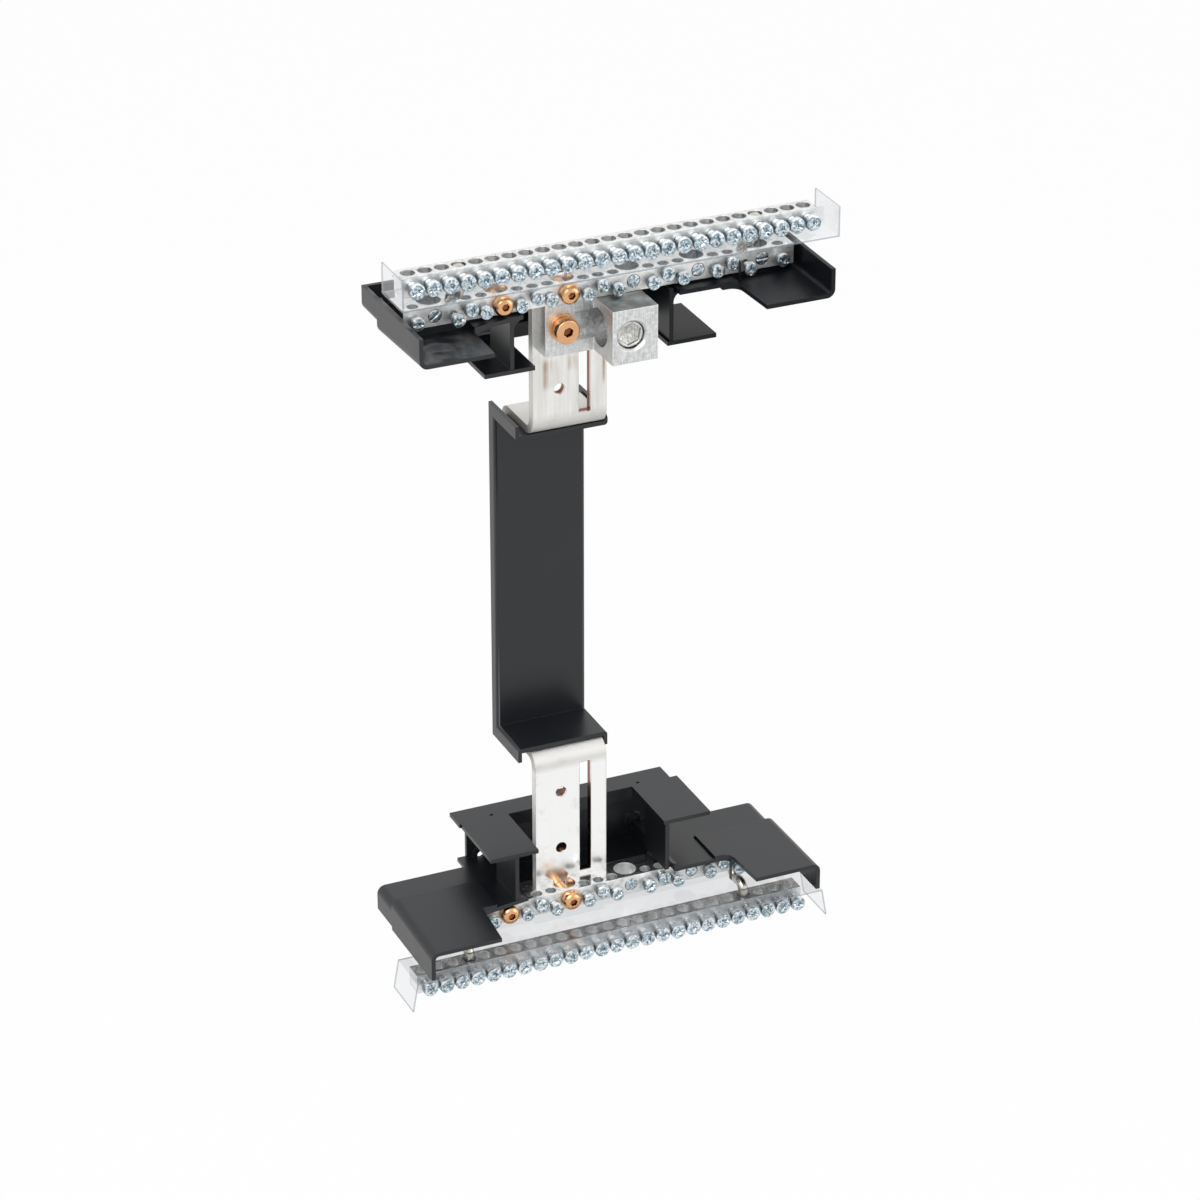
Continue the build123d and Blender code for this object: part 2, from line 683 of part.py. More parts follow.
    # rail along the top of the back wall with the two tabs
    with BuildSketch(Plane.XY.offset(rail_z)):
        with Locations(((rail_left + rail_right) / 2, (rail_front + rail_back) / 2)):
            Rectangle(rail_right - rail_left, rail_back - rail_front)
        with Locations((left_tab + tab_wide / 2, (tab_front + rail_front + 1.0) / 2)):
            Rectangle(tab_wide, rail_front + 1.0 - tab_front)
        with Locations((right_tab + tab_wide / 2, (tab_front + rail_front + 1.0) / 2)):
            Rectangle(tab_wide, rail_front + 1.0 - tab_front)
        with Locations((left_tab + 16.6, rail_front + 2.4), (right_tab + 4.1, rail_front + 2.4)):
            Triangle(c=2.6, B=45, a=2.4, mode=Mode.SUBTRACT)
    extrude(amount=skin)
    with BuildSketch(Plane.XY.offset(rail_z)):
        with Locations(((left_tab + tab_wide + right_tab) / 2, rail_front + skin / 2)):
            Rectangle(right_tab - left_tab - tab_wide, skin)
    extrude(amount=skirt_high)
    # webs under the tabs, each with a rounded foot
    with BuildSketch(Plane.XZ.offset(-web_back)):
        with Locations((left_web, (rail_z + rear_z + skin) / 2), (right_web, (rail_z + rear_z + skin) / 2)):
            Rectangle(skin, rear_z + skin - rail_z)
        with Locations((left_web + skin / 2, rear_z), (right_web + skin / 2, rear_z)):
            Rectangle(web_foot, web_foot, align=(Align.MIN, Align.MAX))
        with Locations((left_web + skin / 2 + web_foot, rear_z - web_foot), (right_web + skin / 2 + web_foot, rear_z - web_foot)):
            Circle(web_foot, mode=Mode.SUBTRACT)
    extrude(amount=web_back - tab_front - 0.4)
    # screw eye on the left of the back wall and a closed eye on the right
    with BuildSketch(Plane.XZ.offset(-wall_back + skin)):
        with Locations((eye_left, eye_z), (eye_right, eye_z)):
            Circle(eye_d / 2)
    extrude(amount=eye_high)
    with BuildSketch(Plane.XZ.offset(-wall_back + skin + eye_high)):
        with Locations((eye_right, eye_z)):
            Circle(eye_d / 2 - 1.2)
    extrude(amount=-eye_high, mode=Mode.SUBTRACT)
    with BuildSketch(Plane.XZ.offset(-wall_back + skin + eye_high)):
        with Locations((eye_left, eye_z)):
            Circle(eye_hole_d / 2)
    extrude(amount=-skin - eye_high, mode=Mode.SUBTRACT)

upper_carrier.part.label = "upper_carrier"
export_step(upper_carrier.part, "parts/upper_carrier.step")

with BuildPart() as lower_carrier:
    mirror(upper_carrier.part, about=Plane.XY)

lower_carrier.part.label = "lower_carrier"
export_step(lower_carrier.part, "parts/lower_carrier.step")

# Lug: tang against the strap, square barrel on its right with a wire bore along X
with BuildPart() as lug_body:
    with BuildSketch(Plane.XY.offset(lug_bottom)):
        with BuildLine():
            Polyline(
                (lug_left, plate_front),
                (lug_left, plate_front - lug_tang_deep),
                (barrel_left, plate_front - lug_tang_deep),
                (barrel_left, plate_front - barrel_deep),
                (barrel_right, plate_front - barrel_deep),
                (barrel_right, plate_front),
                close=True,
            )
        make_face()
    extrude(amount=lug_top - lug_bottom)
    with BuildSketch(Plane.YZ.offset(groove_left)):
        with Locations((lug_bore_y, lug_z)):
            Circle(lug_bore_d / 2)
    extrude(amount=barrel_right - groove_left, mode=Mode.SUBTRACT)
    with BuildSketch(Plane.XZ.offset(-plate_front + barrel_deep)):
        with Locations((lug_screw_x, lug_z)):
            Circle(lug_screw_d / 2 + thread_play)
    extrude(amount=-lug_wall, mode=Mode.SUBTRACT)
    with BuildSketch(Plane.XZ.offset(-plate_front)):
        with Locations((lug_bolt_x, lug_bolt_z)):
            Circle(lug_bolt_d / 2 + thread_play)
    extrude(amount=lug_tang_deep, mode=Mode.SUBTRACT)
    lug_mouth = [
        e for e in lug_body.edges().filter_by(GeomType.CIRCLE)
        if abs(e.center().Y - plate_front + barrel_deep) < 0.1
    ]
    chamfer(lug_mouth, lug_mouth_chamfer)

lug_body.part.label = "lug_body"
export_step(lug_body.part, "parts/lug_body.step")

# Socket set screw in the front wall of the barrel
with BuildPart() as lug_set_screw:
    with BuildSketch(Plane.XZ.offset(-plate_front + barrel_deep - lug_screw_sunk)):
        with Locations((lug_screw_x, lug_z)):
            Circle(lug_screw_d / 2)
    extrude(amount=-lug_wall + lug_screw_sunk + lug_screw_end)
    with BuildSketch(Plane.XZ.offset(-plate_front + barrel_deep - lug_screw_sunk)):
        with Locations((lug_screw_x, lug_z)):
            RegularPolygon(lug_screw_socket / 2, 6, major_radius=False)
    extrude(amount=-lug_wall + lug_screw_sunk + lug_screw_end + lug_screw_floor, mode=Mode.SUBTRACT)

lug_set_screw.part.label = "lug_set_screw"
export_step(lug_set_screw.part, "parts/lug_set_screw.step")

# Washer and socket head bolt that hold the lug to the strap
with BuildPart() as lug_washer:
    with BuildSketch(Plane.XZ.offset(-plate_front + lug_tang_deep)):
        with Locations((lug_bolt_x, lug_bolt_z)):
            Circle(lug_washer_d / 2)
            Circle(lug_bolt_d / 2 + thread_play, mode=Mode.SUBTRACT)
    extrude(amount=lug_washer_high)

lug_washer.part.label = "lug_washer"
export_step(lug_washer.part, "parts/lug_washer.step")

with BuildPart() as lug_bolt:
    with BuildSketch(Plane.XZ.offset(-plate_front + lug_tang_deep + lug_washer_high)):
        with Locations((lug_bolt_x, lug_bolt_z)):
            Circle(lug_head_d / 2)
    extrude(amount=lug_head_high)
    with BuildSketch(Plane.XZ.offset(-plate_front + lug_tang_deep + lug_washer_high)):
        with Locations((lug_bolt_x, lug_bolt_z)):
            Circle(lug_bolt_d / 2)
    extrude(amount=-lug_washer_high - lug_tang_deep - strap_thick - 0.5)
    with BuildSketch(Plane.XZ.offset(-plate_front + lug_tang_deep + lug_washer_high + lug_head_high)):
        with Locations((lug_bolt_x, lug_bolt_z)):
            RegularPolygon(lug_bolt_socket / 2, 6, major_radius=False)
    extrude(amount=-lug_head_high / 2, mode=Mode.SUBTRACT)

lug_bolt.part.label = "lug_bolt"
export_step(lug_bolt.part, "parts/lug_bolt.step")
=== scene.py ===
import math
import random

import bmesh
import bpy
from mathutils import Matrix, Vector


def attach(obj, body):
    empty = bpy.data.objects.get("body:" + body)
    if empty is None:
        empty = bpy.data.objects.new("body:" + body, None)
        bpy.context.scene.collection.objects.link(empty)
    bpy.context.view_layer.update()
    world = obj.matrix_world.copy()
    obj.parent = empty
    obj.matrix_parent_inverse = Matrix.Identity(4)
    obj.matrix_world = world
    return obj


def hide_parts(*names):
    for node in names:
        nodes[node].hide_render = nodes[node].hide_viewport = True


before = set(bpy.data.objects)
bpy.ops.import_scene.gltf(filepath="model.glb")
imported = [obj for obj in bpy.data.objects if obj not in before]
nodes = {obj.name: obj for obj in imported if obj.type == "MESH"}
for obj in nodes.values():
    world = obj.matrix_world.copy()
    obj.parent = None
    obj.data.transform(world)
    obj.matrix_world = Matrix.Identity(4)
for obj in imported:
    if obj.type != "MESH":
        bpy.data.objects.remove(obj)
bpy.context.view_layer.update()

# the two terminal units and the side of the middle that each is on
units = (("upper", 1), ("lower", -1))

# ---------------------------------------------------------------------------
# Camera: the photograph's view, from the left and above.
# A long lens looks at the middle of the assembly from about two metres.
camera_data = bpy.data.cameras.new("camera")
camera_data.lens = 133.907
camera_data.sensor_width = 36.0
camera_data.clip_end = 30.0
camera = bpy.data.objects.new("camera", camera_data)
camera.location = (-0.73561, -1.71263, 0.93520)
camera.rotation_euler = (math.radians(62.8463), 0.0, math.radians(-24.1216))
bpy.context.scene.collection.objects.link(camera)
bpy.context.scene.camera = camera
bpy.context.scene.view_settings.view_transform = "Standard"

# ---------------------------------------------------------------------------
# Helpers for shader nodes and materials, used by all the sections below.
# Colours are written as sRGB hex codes and turned into linear ones.


def add_node(tree, kind, inputs=None, **settings):
    """A node with its settings; inputs maps a socket to a value or to another node's output."""
    made = tree.nodes.new(kind)
    for name, value in settings.items():
        setattr(made, name, value)
    for name, value in (inputs or {}).items():
        if isinstance(value, bpy.types.NodeSocket):
            tree.links.new(value, made.inputs[name])
        else:
            made.inputs[name].default_value = value
    return made


def linear(code):
    """A hex sRGB colour as the linear colour that sockets take."""
    parts = [int(code[i:i + 2], 16) / 255 for i in (1, 3, 5)]
    return tuple(c / 12.92 if c <= 0.04045 else ((c + 0.055) / 1.055) ** 2.4 for c in parts) + (1.0,)


def principled(name):
    """A new material, its node tree, its shader and its texture coordinates."""
    made = bpy.data.materials.new(name)
    made.use_nodes = True
    tree = made.node_tree
    return made, tree, tree.nodes["Principled BSDF"], add_node(tree, "ShaderNodeTexCoord")


def connect(tree, shader, color, gloss, relief):
    """Links the colour, the roughness and the normal to a shader."""
    tree.links.new(color, shader.inputs["Base Color"])
    tree.links.new(gloss.outputs[0], shader.inputs["Roughness"])
    tree.links.new(relief.outputs[0], shader.inputs["Normal"])


def dress(names, material):
    """Gives nodes of the frame one material."""
    for name in names:
        nodes[name].data.materials.clear()
        nodes[name].data.materials.append(material)


def white_rays(tree):
    """1 for camera, glossy and transmission rays, 0 for diffuse light."""
    rays = add_node(tree, "ShaderNodeLightPath")
    seen = add_node(tree, "ShaderNodeMath", {0: rays.outputs["Is Camera Ray"], 1: rays.outputs["Is Glossy Ray"]},
                    operation="MAXIMUM")
    return add_node(tree, "ShaderNodeMath", {0: seen.outputs[0], 1: rays.outputs["Is Transmission Ray"]},
                    operation="MAXIMUM")


# ---------------------------------------------------------------------------
# World, floor and lamps: white for the camera and for reflections, a soft grey for diffuse light.
# The floor lies well below, because the object hangs on a panel.
white = (1.0, 1.0, 1.0, 1.0)
floor_z = -0.62
floor_half = 6
world = bpy.data.worlds.new("studio")
bpy.context.scene.world = world
world.use_nodes = True
tree = world.node_tree
tree.nodes.clear()
seen = white_rays(tree)
dim = add_node(tree, "ShaderNodeBackground", {"Color": linear("#e9eef4"), "Strength": 0.55})
bright = add_node(tree, "ShaderNodeBackground", {"Color": white, "Strength": 1.0})
mixed = add_node(tree, "ShaderNodeMixShader", {0: seen.outputs[0], 1: dim.outputs[0], 2: bright.outputs[0]})
add_node(tree, "ShaderNodeOutputWorld", {"Surface": mixed.outputs[0]})

floor_mesh = bpy.data.meshes.new("floor")
floor_mesh.from_pydata([(a * floor_half, b * floor_half, floor_z) for a, b in ((-1, -1), (1, -1), (1, 1), (-1, 1))],
                       [], [(0, 1, 2, 3)])
floor = bpy.data.objects.new("floor", floor_mesh)
bpy.context.scene.collection.objects.link(floor)
floor_paint = bpy.data.materials.new("pale_floor")
floor_paint.use_nodes = True
tree = floor_paint.node_tree
tree.nodes.clear()
seen = white_rays(tree)
part_seen = add_node(tree, "ShaderNodeMath", {0: seen.outputs[0], 1: 0.97}, operation="MULTIPLY")
grain = add_node(tree, "ShaderNodeTexNoise", {"Scale": 40.0, "Detail": 2.0})
tone = add_node(tree, "ShaderNodeMix", {"Factor": grain.outputs["Fac"], 6: linear("#efeff0"), 7: linear("#f5f5f5")},
                data_type="RGBA")
paint = add_node(tree, "ShaderNodeBsdfDiffuse", {"Color": tone.outputs[2]})
glow = add_node(tree, "ShaderNodeEmission", {"Color": white, "Strength": 1.0})
mixed = add_node(tree, "ShaderNodeMixShader", {0: part_seen.outputs[0], 1: paint.outputs[0], 2: glow.outputs[0]})
add_node(tree, "ShaderNodeOutputMaterial", {"Surface": mixed.outputs[0]})
floor_mesh.materials.append(floor_paint)

for name, place, size, power in (
    ("key_lamp", (-1.1, -1.5, 1.7), 1.5, 30.0),
    ("fill_lamp", (1.7, -1.4, 0.5), 1.5, 11.0),
    ("top_lamp", (0.2, 0.3, 2.0), 1.3, 14.0),
):
    lamp_data = bpy.data.lights.new(name, "AREA")
    lamp_data.size = size
    lamp_data.energy = power
    lamp = bpy.data.objects.new(name, lamp_data)
    lamp.location = place
    lamp.rotation_euler = Vector(place).to_track_quat("Z", "Y").to_euler()
    bpy.context.scene.collection.objects.link(lamp)

# ---------------------------------------------------------------------------
# Black plastic: satin moulded carriers and strap insulator.
# A fine mould grain, faint cloudy gloss and softly rounded edges.
plastic, tree, shader, place = principled("black_moulded_plastic")
cloud = add_node(tree, "ShaderNodeTexNoise", {"Vector": place.outputs["Object"], "Scale": 60.0, "Detail": 3.0})
grain = add_node(tree, "ShaderNodeTexNoise", {"Vector": place.outputs["Object"], "Scale": 2600.0, "Detail": 2.0})
tone = add_node(tree, "ShaderNodeMix", {"Factor": cloud.outputs["Fac"], 6: linear("#0e1013"), 7: linear("#191b20")},
                data_type="RGBA")
gloss = add_node(tree, "ShaderNodeMapRange", {"Value": cloud.outputs["Fac"], "To Min": 0.28, "To Max": 0.38})
soft = add_node(tree, "ShaderNodeBevel", {"Radius": 0.00035}, samples=4)
where = add_node(tree, "ShaderNodeSeparateXYZ", {0: place.outputs["Object"]})
upper = add_node(tree, "ShaderNodeMath", {0: where.outputs["Z"], 1: 0.0}, operation="GREATER_THAN")
# shallow sink marks on the front of the upper left wing
ripple = add_node(tree, "ShaderNodeTexNoise", {"Vector": place.outputs["Object"], "Scale": 95.0, "Detail": 0.0})
far_left = add_node(tree, "ShaderNodeMapRange", {"Value": where.outputs["X"], "From Min": -0.052, "From Max": -0.068})
facing = add_node(tree, "ShaderNodeNewGeometry")
turn = add_node(tree, "ShaderNodeSeparateXYZ", {0: facing.outputs["True Normal"]})
level = add_node(tree, "ShaderNodeMath", {0: turn.outputs["Z"], 1: 0.7}, operation="GREATER_THAN")
glossy = add_node(tree, "ShaderNodeMath", {0: far_left.outputs[0], 1: upper.outputs[0]}, operation="MULTIPLY")
glossy = add_node(tree, "ShaderNodeMath", {0: glossy.outputs[0], 1: level.outputs[0]}, operation="MULTIPLY")
gloss = add_node(tree, "ShaderNodeMix", {"Factor": glossy.outputs[0], 2: gloss.outputs[0], 3: 0.22})
sunk = add_node(tree, "ShaderNodeMath", {0: glossy.outputs[0], 1: ripple.outputs["Fac"]}, operation="MULTIPLY")
dimples = add_node(tree, "ShaderNodeBump", {"Strength": 1.0, "Distance": 0.0016, "Height": sunk.outputs[0],
                                            "Normal": soft.outputs[0]})
relief = add_node(tree, "ShaderNodeBump",
                  {"Strength": 0.12, "Distance": 0.00012, "Height": grain.outputs["Fac"],
                   "Normal": dimples.outputs[0]})
# painted shade: the right end of the upper carrier is given less sheen, so that it reads darker
far_right = add_node(tree, "ShaderNodeMapRange", {"Value": where.outputs["X"], "From Min": 0.020, "From Max": 0.045})
right_end_shade = add_node(tree, "ShaderNodeMath", {0: far_right.outputs[0], 1: upper.outputs[0]}, operation="MULTIPLY")
shaded_sheen = add_node(tree, "ShaderNodeMapRange", {"Value": right_end_shade.outputs[0], "To Min": 0.5, "To Max": 0.17})
tree.links.new(shaded_sheen.outputs[0], shader.inputs["Specular IOR Level"])
connect(tree, shader, tone.outputs[2], gloss, relief)
shader.inputs["IOR"].default_value = 1.5


def carved(node, blocks):
    """A copy of a black node with blocks cut from it; a block is two loops of points in millimetres."""
    source = nodes[node]
    shell = bpy.data.objects.new(node + "_fine", source.data.copy())
    shell.matrix_world = source.matrix_world
    bpy.context.scene.collection.objects.link(shell)
    for near_loop, far_loop in blocks:
        count = len(near_loop)
        work = bmesh.new()
        corners = [work.verts.new([c / 1000 for c in point]) for point in list(near_loop) + list(far_loop)]
        for n in range(count):
            m = (n + 1) % count
            work.faces.new((corners[n], corners[m], corners[count + m], corners[count + n]))
        work.faces.new(corners[:count])
        work.faces.new(corners[count:])
        bmesh.ops.recalc_face_normals(work, faces=work.faces)
        block_mesh = bpy.data.meshes.new("cutter")
        work.to_mesh(block_mesh)
        work.free()
        block = bpy.data.objects.new("cutter", block_mesh)
        bpy.context.scene.collection.objects.link(block)
        cut = shell.modifiers.new("cut", "BOOLEAN")
        cut.operation = "DIFFERENCE"
        cut.object = block
        cut.solver = "EXACT"
        bpy.context.view_layer.update()
        result = bpy.data.meshes.new_from_object(shell.evaluated_get(bpy.context.evaluated_depsgraph_get()))
        shell.modifiers.clear()
        shell.data = result
        bpy.data.objects.remove(block)
        bpy.data.meshes.remove(block_mesh)
    shell.data.materials.clear()
    shell.data.materials.append(plastic)
    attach(shell, "root")
    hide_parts(node)


# the CAD carriers have a thin fin at the corner of the right wing that the photograph lacks; the block ends at
# x 74.38 and the fin at 74.40, so a sliver of it stays (74.6 would take it all); the left lip is cut on the slant
corner = ((69.0, -60.4), (74.38, -60.4), (74.38, -54.81), (69.0, -54.81))
slant = ((-53.3, -54.9), (-28.0, -54.9), (-28.0, -50.8))
for level, side in units:
    carved(level + "_carrier", [
        ([(x, y, side * 150.1) for x, y in corner], [(x, y, side * 163.0) for x, y in corner]),
        ([(x, y, side * 147.0) for x, y in slant], [(x, y, side * 151.0) for x, y in slant]),
    ])
# the front corner of the insulator's right flange is sloped
slope = ((-32.0, 87.0), (-27.4, 87.0), (-32.0, 82.6))
carved("strap_insulator", [([(18.9, y, z) for y, z in slope], [(21.2, y, z) for y, z in slope])])

# ---------------------------------------------------------------------------
# Tin plated copper strap: bright, streaked along its length and lightly stained.
# The cut walls of the slots and the holes show bare copper.
tin, tree, shader, place = principled("tin_plated_copper")
where = add_node(tree, "ShaderNodeSeparateXYZ", {0: place.outputs["Object"]})
facing = add_node(tree, "ShaderNodeNewGeometry")
turn = add_node(tree, "ShaderNodeSeparateXYZ", {0: facing.outputs["True Normal"]})
side_x = add_node(tree, "ShaderNodeMath", {0: where.outputs["X"]}, operation="ABSOLUTE")
side_z = add_node(tree, "ShaderNodeMath", {0: where.outputs["Z"]}, operation="ABSOLUTE")
flat_y = add_node(tree, "ShaderNodeMath", {0: turn.outputs["Y"]}, operation="ABSOLUTE")
inside_x = add_node(tree, "ShaderNodeMath", {0: side_x.outputs[0], 1: 0.0180}, operation="LESS_THAN")
inside_z = add_node(tree, "ShaderNodeMath", {0: side_z.outputs[0], 1: 0.0900}, operation="GREATER_THAN")
below_end = add_node(tree, "ShaderNodeMath", {0: side_z.outputs[0], 1: 0.1594}, operation="LESS_THAN")
is_wall = add_node(tree, "ShaderNodeMath", {0: flat_y.outputs[0], 1: 0.6}, operation="LESS_THAN")
cut = add_node(tree, "ShaderNodeMath", {0: inside_x.outputs[0], 1: inside_z.outputs[0]}, operation="MULTIPLY")
cut = add_node(tree, "ShaderNodeMath", {0: cut.outputs[0], 1: below_end.outputs[0]}, operation="MULTIPLY")
cut = add_node(tree, "ShaderNodeMath", {0: cut.outputs[0], 1: is_wall.outputs[0]}, operation="MULTIPLY")
behind_face = add_node(tree, "ShaderNodeMath", {0: where.outputs["Y"], 1: -0.0354}, operation="GREATER_THAN")
cut = add_node(tree, "ShaderNodeMath", {0: cut.outputs[0], 1: behind_face.outputs[0]}, operation="MULTIPLY")
stretch = add_node(tree, "ShaderNodeMapping", {"Vector": place.outputs["Object"], "Scale": (420.0, 420.0, 26.0)})
streak = add_node(tree, "ShaderNodeTexNoise", {"Vector": stretch.outputs[0], "Scale": 1.0, "Detail": 4.0})
blotch = add_node(tree, "ShaderNodeTexNoise", {"Vector": place.outputs["Object"], "Scale": 75.0, "Detail": 5.0,
                                               "Roughness": 0.6})
speckled = add_node(tree, "ShaderNodeMapRange", {"Value": blotch.outputs["Fac"], "From Min": 0.55, "From Max": 0.78,
                                                 "To Max": 0.3})
near_side = add_node(tree, "ShaderNodeMapRange", {"Value": side_x.outputs[0], "From Min": 0.0172, "From Max": 0.0183,
                                                  "To Max": 0.08})
stained = add_node(tree, "ShaderNodeMath", {0: speckled.outputs[0], 1: near_side.outputs[0]}, operation="MAXIMUM")
rubbed = add_node(tree, "ShaderNodeMapRange", {"Value": streak.outputs["Fac"], "From Min": 0.35, "From Max": 0.6,
                                               "To Min": 0.5, "To Max": 2.4})
# three rubbed patches of the upper plate: middle and half size in X and Z, and strength
for at_x, half_x, at_z, half_z, strength in (
    (-0.0093, 0.0036, 0.1120, 0.0066, 0.75),
    (0.0012, 0.0020, 0.1165, 0.0034, 0.6),
    (0.0169, 0.0005, 0.1100, 0.0062, 1.0),
):
    off_x = add_node(tree, "ShaderNodeMath", {0: where.outputs["X"], 1: at_x}, operation="SUBTRACT")
    off_x = add_node(tree, "ShaderNodeMath", {0: off_x.outputs[0]}, operation="ABSOLUTE")
    off_z = add_node(tree, "ShaderNodeMath", {0: where.outputs["Z"], 1: at_z}, operation="SUBTRACT")
    off_z = add_node(tree, "ShaderNodeMath", {0: off_z.outputs[0]}, operation="ABSOLUTE")
    in_x = add_node(tree, "ShaderNodeMapRange", {"Value": off_x.outputs[0], "From Min": half_x + 0.0012,
                                                 "From Max": half_x - 0.0012}, interpolation_type="SMOOTHSTEP")
    in_z = add_node(tree, "ShaderNodeMapRange", {"Value": off_z.outputs[0], "From Min": half_z + 0.0024,
                                                 "From Max": half_z - 0.0024, "To Max": strength},
                    interpolation_type="SMOOTHSTEP")
    patch = add_node(tree, "ShaderNodeMath", {0: in_x.outputs[0], 1: in_z.outputs[0]}, operation="MULTIPLY")
    patch = add_node(tree, "ShaderNodeMath", {0: patch.outputs[0], 1: blotch.outputs["Fac"]}, operation="MULTIPLY")
    patch = add_node(tree, "ShaderNodeMath", {0: patch.outputs[0], 1: rubbed.outputs[0]}, operation="MULTIPLY",
                     use_clamp=True)
    stained = add_node(tree, "ShaderNodeMath", {0: stained.outputs[0], 1: patch.outputs[0]}, operation="MAXIMUM")
dull = add_node(tree, "ShaderNodeMapRange", {"Value": streak.outputs["Fac"], "From Min": 0.35, "From Max": 0.7})
clean = add_node(tree, "ShaderNodeMix", {"Factor": dull.outputs[0], 6: linear("#ecebe8"), 7: linear("#dddbd6")},
                 data_type="RGBA")
# painted light: the lower end of the strap is painted a lighter, even tin colour
lit_low_end = add_node(tree, "ShaderNodeMath", {0: where.outputs["Z"], 1: 0.0}, operation="LESS_THAN")
clean = add_node(tree, "ShaderNodeMix", {"Factor": lit_low_end.outputs[0], 6: clean.outputs[2], 7: linear("#f6f6f5")},
                 data_type="RGBA")
# painted shade: the bends are painted a slightly darker, even grey
bent = add_node(tree, "ShaderNodeMapRange", {"Value": side_z.outputs[0], "From Min": 0.0925, "From Max": 0.0885})
clean = add_node(tree, "ShaderNodeMix", {"Factor": bent.outputs[0], 6: clean.outputs[2], 7: linear("#d6d5d2")},
                 data_type="RGBA")
worn = add_node(tree, "ShaderNodeMix", {"Factor": stained.outputs[0], 6: clean.outputs[2], 7: linear("#a48f78")},
                data_type="RGBA")
soft = add_node(tree, "ShaderNodeBevel", {"Radius": 0.0005}, samples=6)
# painted shade: the rounded edges, found by the bevel, are painted as a darker grey line
even = add_node(tree, "ShaderNodeVectorMath", {0: soft.outputs[0], 1: facing.outputs["True Normal"]},
                operation="DOT_PRODUCT")
on_edge = add_node(tree, "ShaderNodeMapRange", {"Value": even.outputs["Value"], "From Min": 0.97, "From Max": 0.85,
                                                "To Max": 0.6})
shaded_edges = add_node(tree, "ShaderNodeMix", {"Factor": on_edge.outputs[0], 6: worn.outputs[2], 7: linear("#a9a49c")},
                 data_type="RGBA")
tone = add_node(tree, "ShaderNodeMix", {"Factor": cut.outputs[0], 6: shaded_edges.outputs[2], 7: linear("#84503e")},
                data_type="RGBA")
gloss = add_node(tree, "ShaderNodeMapRange", {"Value": streak.outputs["Fac"], "From Min": 0.3, "From Max": 0.7,
                                              "To Min": 0.18, "To Max": 0.26})
sheared = add_node(tree, "ShaderNodeMapRange", {"Value": side_x.outputs[0], "From Min": 0.0178, "From Max": 0.0182,
                                                "To Max": 0.65})
bend_gloss = add_node(tree, "ShaderNodeMath", {0: bent.outputs[0], 1: 0.5}, operation="MULTIPLY")
gloss = add_node(tree, "ShaderNodeMath", {0: gloss.outputs[0], 1: sheared.outputs[0]}, operation="MAXIMUM")
gloss = add_node(tree, "ShaderNodeMath", {0: gloss.outputs[0], 1: bend_gloss.outputs[0]}, operation="MAXIMUM")
relief = add_node(tree, "ShaderNodeBump", {"Strength": 0.05, "Distance": 0.0002, "Height": streak.outputs["Fac"],
                                           "Normal": soft.outputs[0]})
connect(tree, shader, tone.outputs[2], gloss, relief)
shader.inputs["Metallic"].default_value = 1.0
dress(["bus_strap"], tin)

# ---------------------------------------------------------------------------
# Aluminium terminal bars: drawn along X, with light scratches and small dull spots.
# Their fronts are rougher than their tops.
bar_metal, tree, shader, place = principled("drawn_aluminium")
stretch = add_node(tree, "ShaderNodeMapping", {"Vector": place.outputs["Object"], "Scale": (60.0, 1500.0, 1500.0)})
drawn = add_node(tree, "ShaderNodeTexNoise", {"Vector": stretch.outputs[0], "Scale": 1.0, "Detail": 3.0})
spots = add_node(tree, "ShaderNodeTexNoise", {"Vector": place.outputs["Object"], "Scale": 320.0, "Detail": 4.0})
dull = add_node(tree, "ShaderNodeMapRange", {"Value": spots.outputs["Fac"], "From Min": 0.45, "From Max": 0.75})
clean = add_node(tree, "ShaderNodeMix", {"Factor": dull.outputs[0], 6: linear("#eeeeed"), 7: linear("#cbcbc9")},
                 data_type="RGBA")
# painted reflection: the top of the lower branch bar is painted darker in patches, for the black carrier above that it
# mirrors
where = add_node(tree, "ShaderNodeSeparateXYZ", {0: place.outputs["Object"]})
facing = add_node(tree, "ShaderNodeNewGeometry")
turn = add_node(tree, "ShaderNodeSeparateXYZ", {0: facing.outputs["True Normal"]})
upward = add_node(tree, "ShaderNodeMath", {0: turn.outputs["Z"], 1: 0.7}, operation="GREATER_THAN")
low_bar = add_node(tree, "ShaderNodeMath", {0: where.outputs["Z"], 1: -0.165}, operation="LESS_THAN")
patches = add_node(tree, "ShaderNodeTexNoise", {"Vector": place.outputs["Object"], "Scale": 170.0, "Detail": 3.0})
painted_reflection = add_node(tree, "ShaderNodeMapRange", {"Value": patches.outputs["Fac"], "From Min": 0.35, "From Max": 0.65,
                                                "To Min": 0.45, "To Max": 0.95})
painted_reflection = add_node(tree, "ShaderNodeMath", {0: painted_reflection.outputs[0], 1: upward.outputs[0]}, operation="MULTIPLY")
painted_reflection = add_node(tree, "ShaderNodeMath", {0: painted_reflection.outputs[0], 1: low_bar.outputs[0]}, operation="MULTIPLY")
tone = add_node(tree, "ShaderNodeMix", {"Factor": painted_reflection.outputs[0], 6: clean.outputs[2], 7: linear("#6f6b64")},
                data_type="RGBA")
gloss = add_node(tree, "ShaderNodeMapRange", {"Value": drawn.outputs["Fac"], "From Min": 0.3, "From Max": 0.7,
                                              "To Min": 0.14, "To Max": 0.28})
flat_y = add_node(tree, "ShaderNodeMath", {0: turn.outputs["Y"]}, operation="ABSOLUTE")
front = add_node(tree, "ShaderNodeMath", {0: flat_y.outputs[0], 1: 0.7}, operation="GREATER_THAN")
gloss = add_node(tree, "ShaderNodeMath", {0: front.outputs[0], 1: 0.26, 2: gloss.outputs[0]},
                 operation="MULTIPLY_ADD")
soft = add_node(tree, "ShaderNodeBevel", {"Radius": 0.0003}, samples=4)
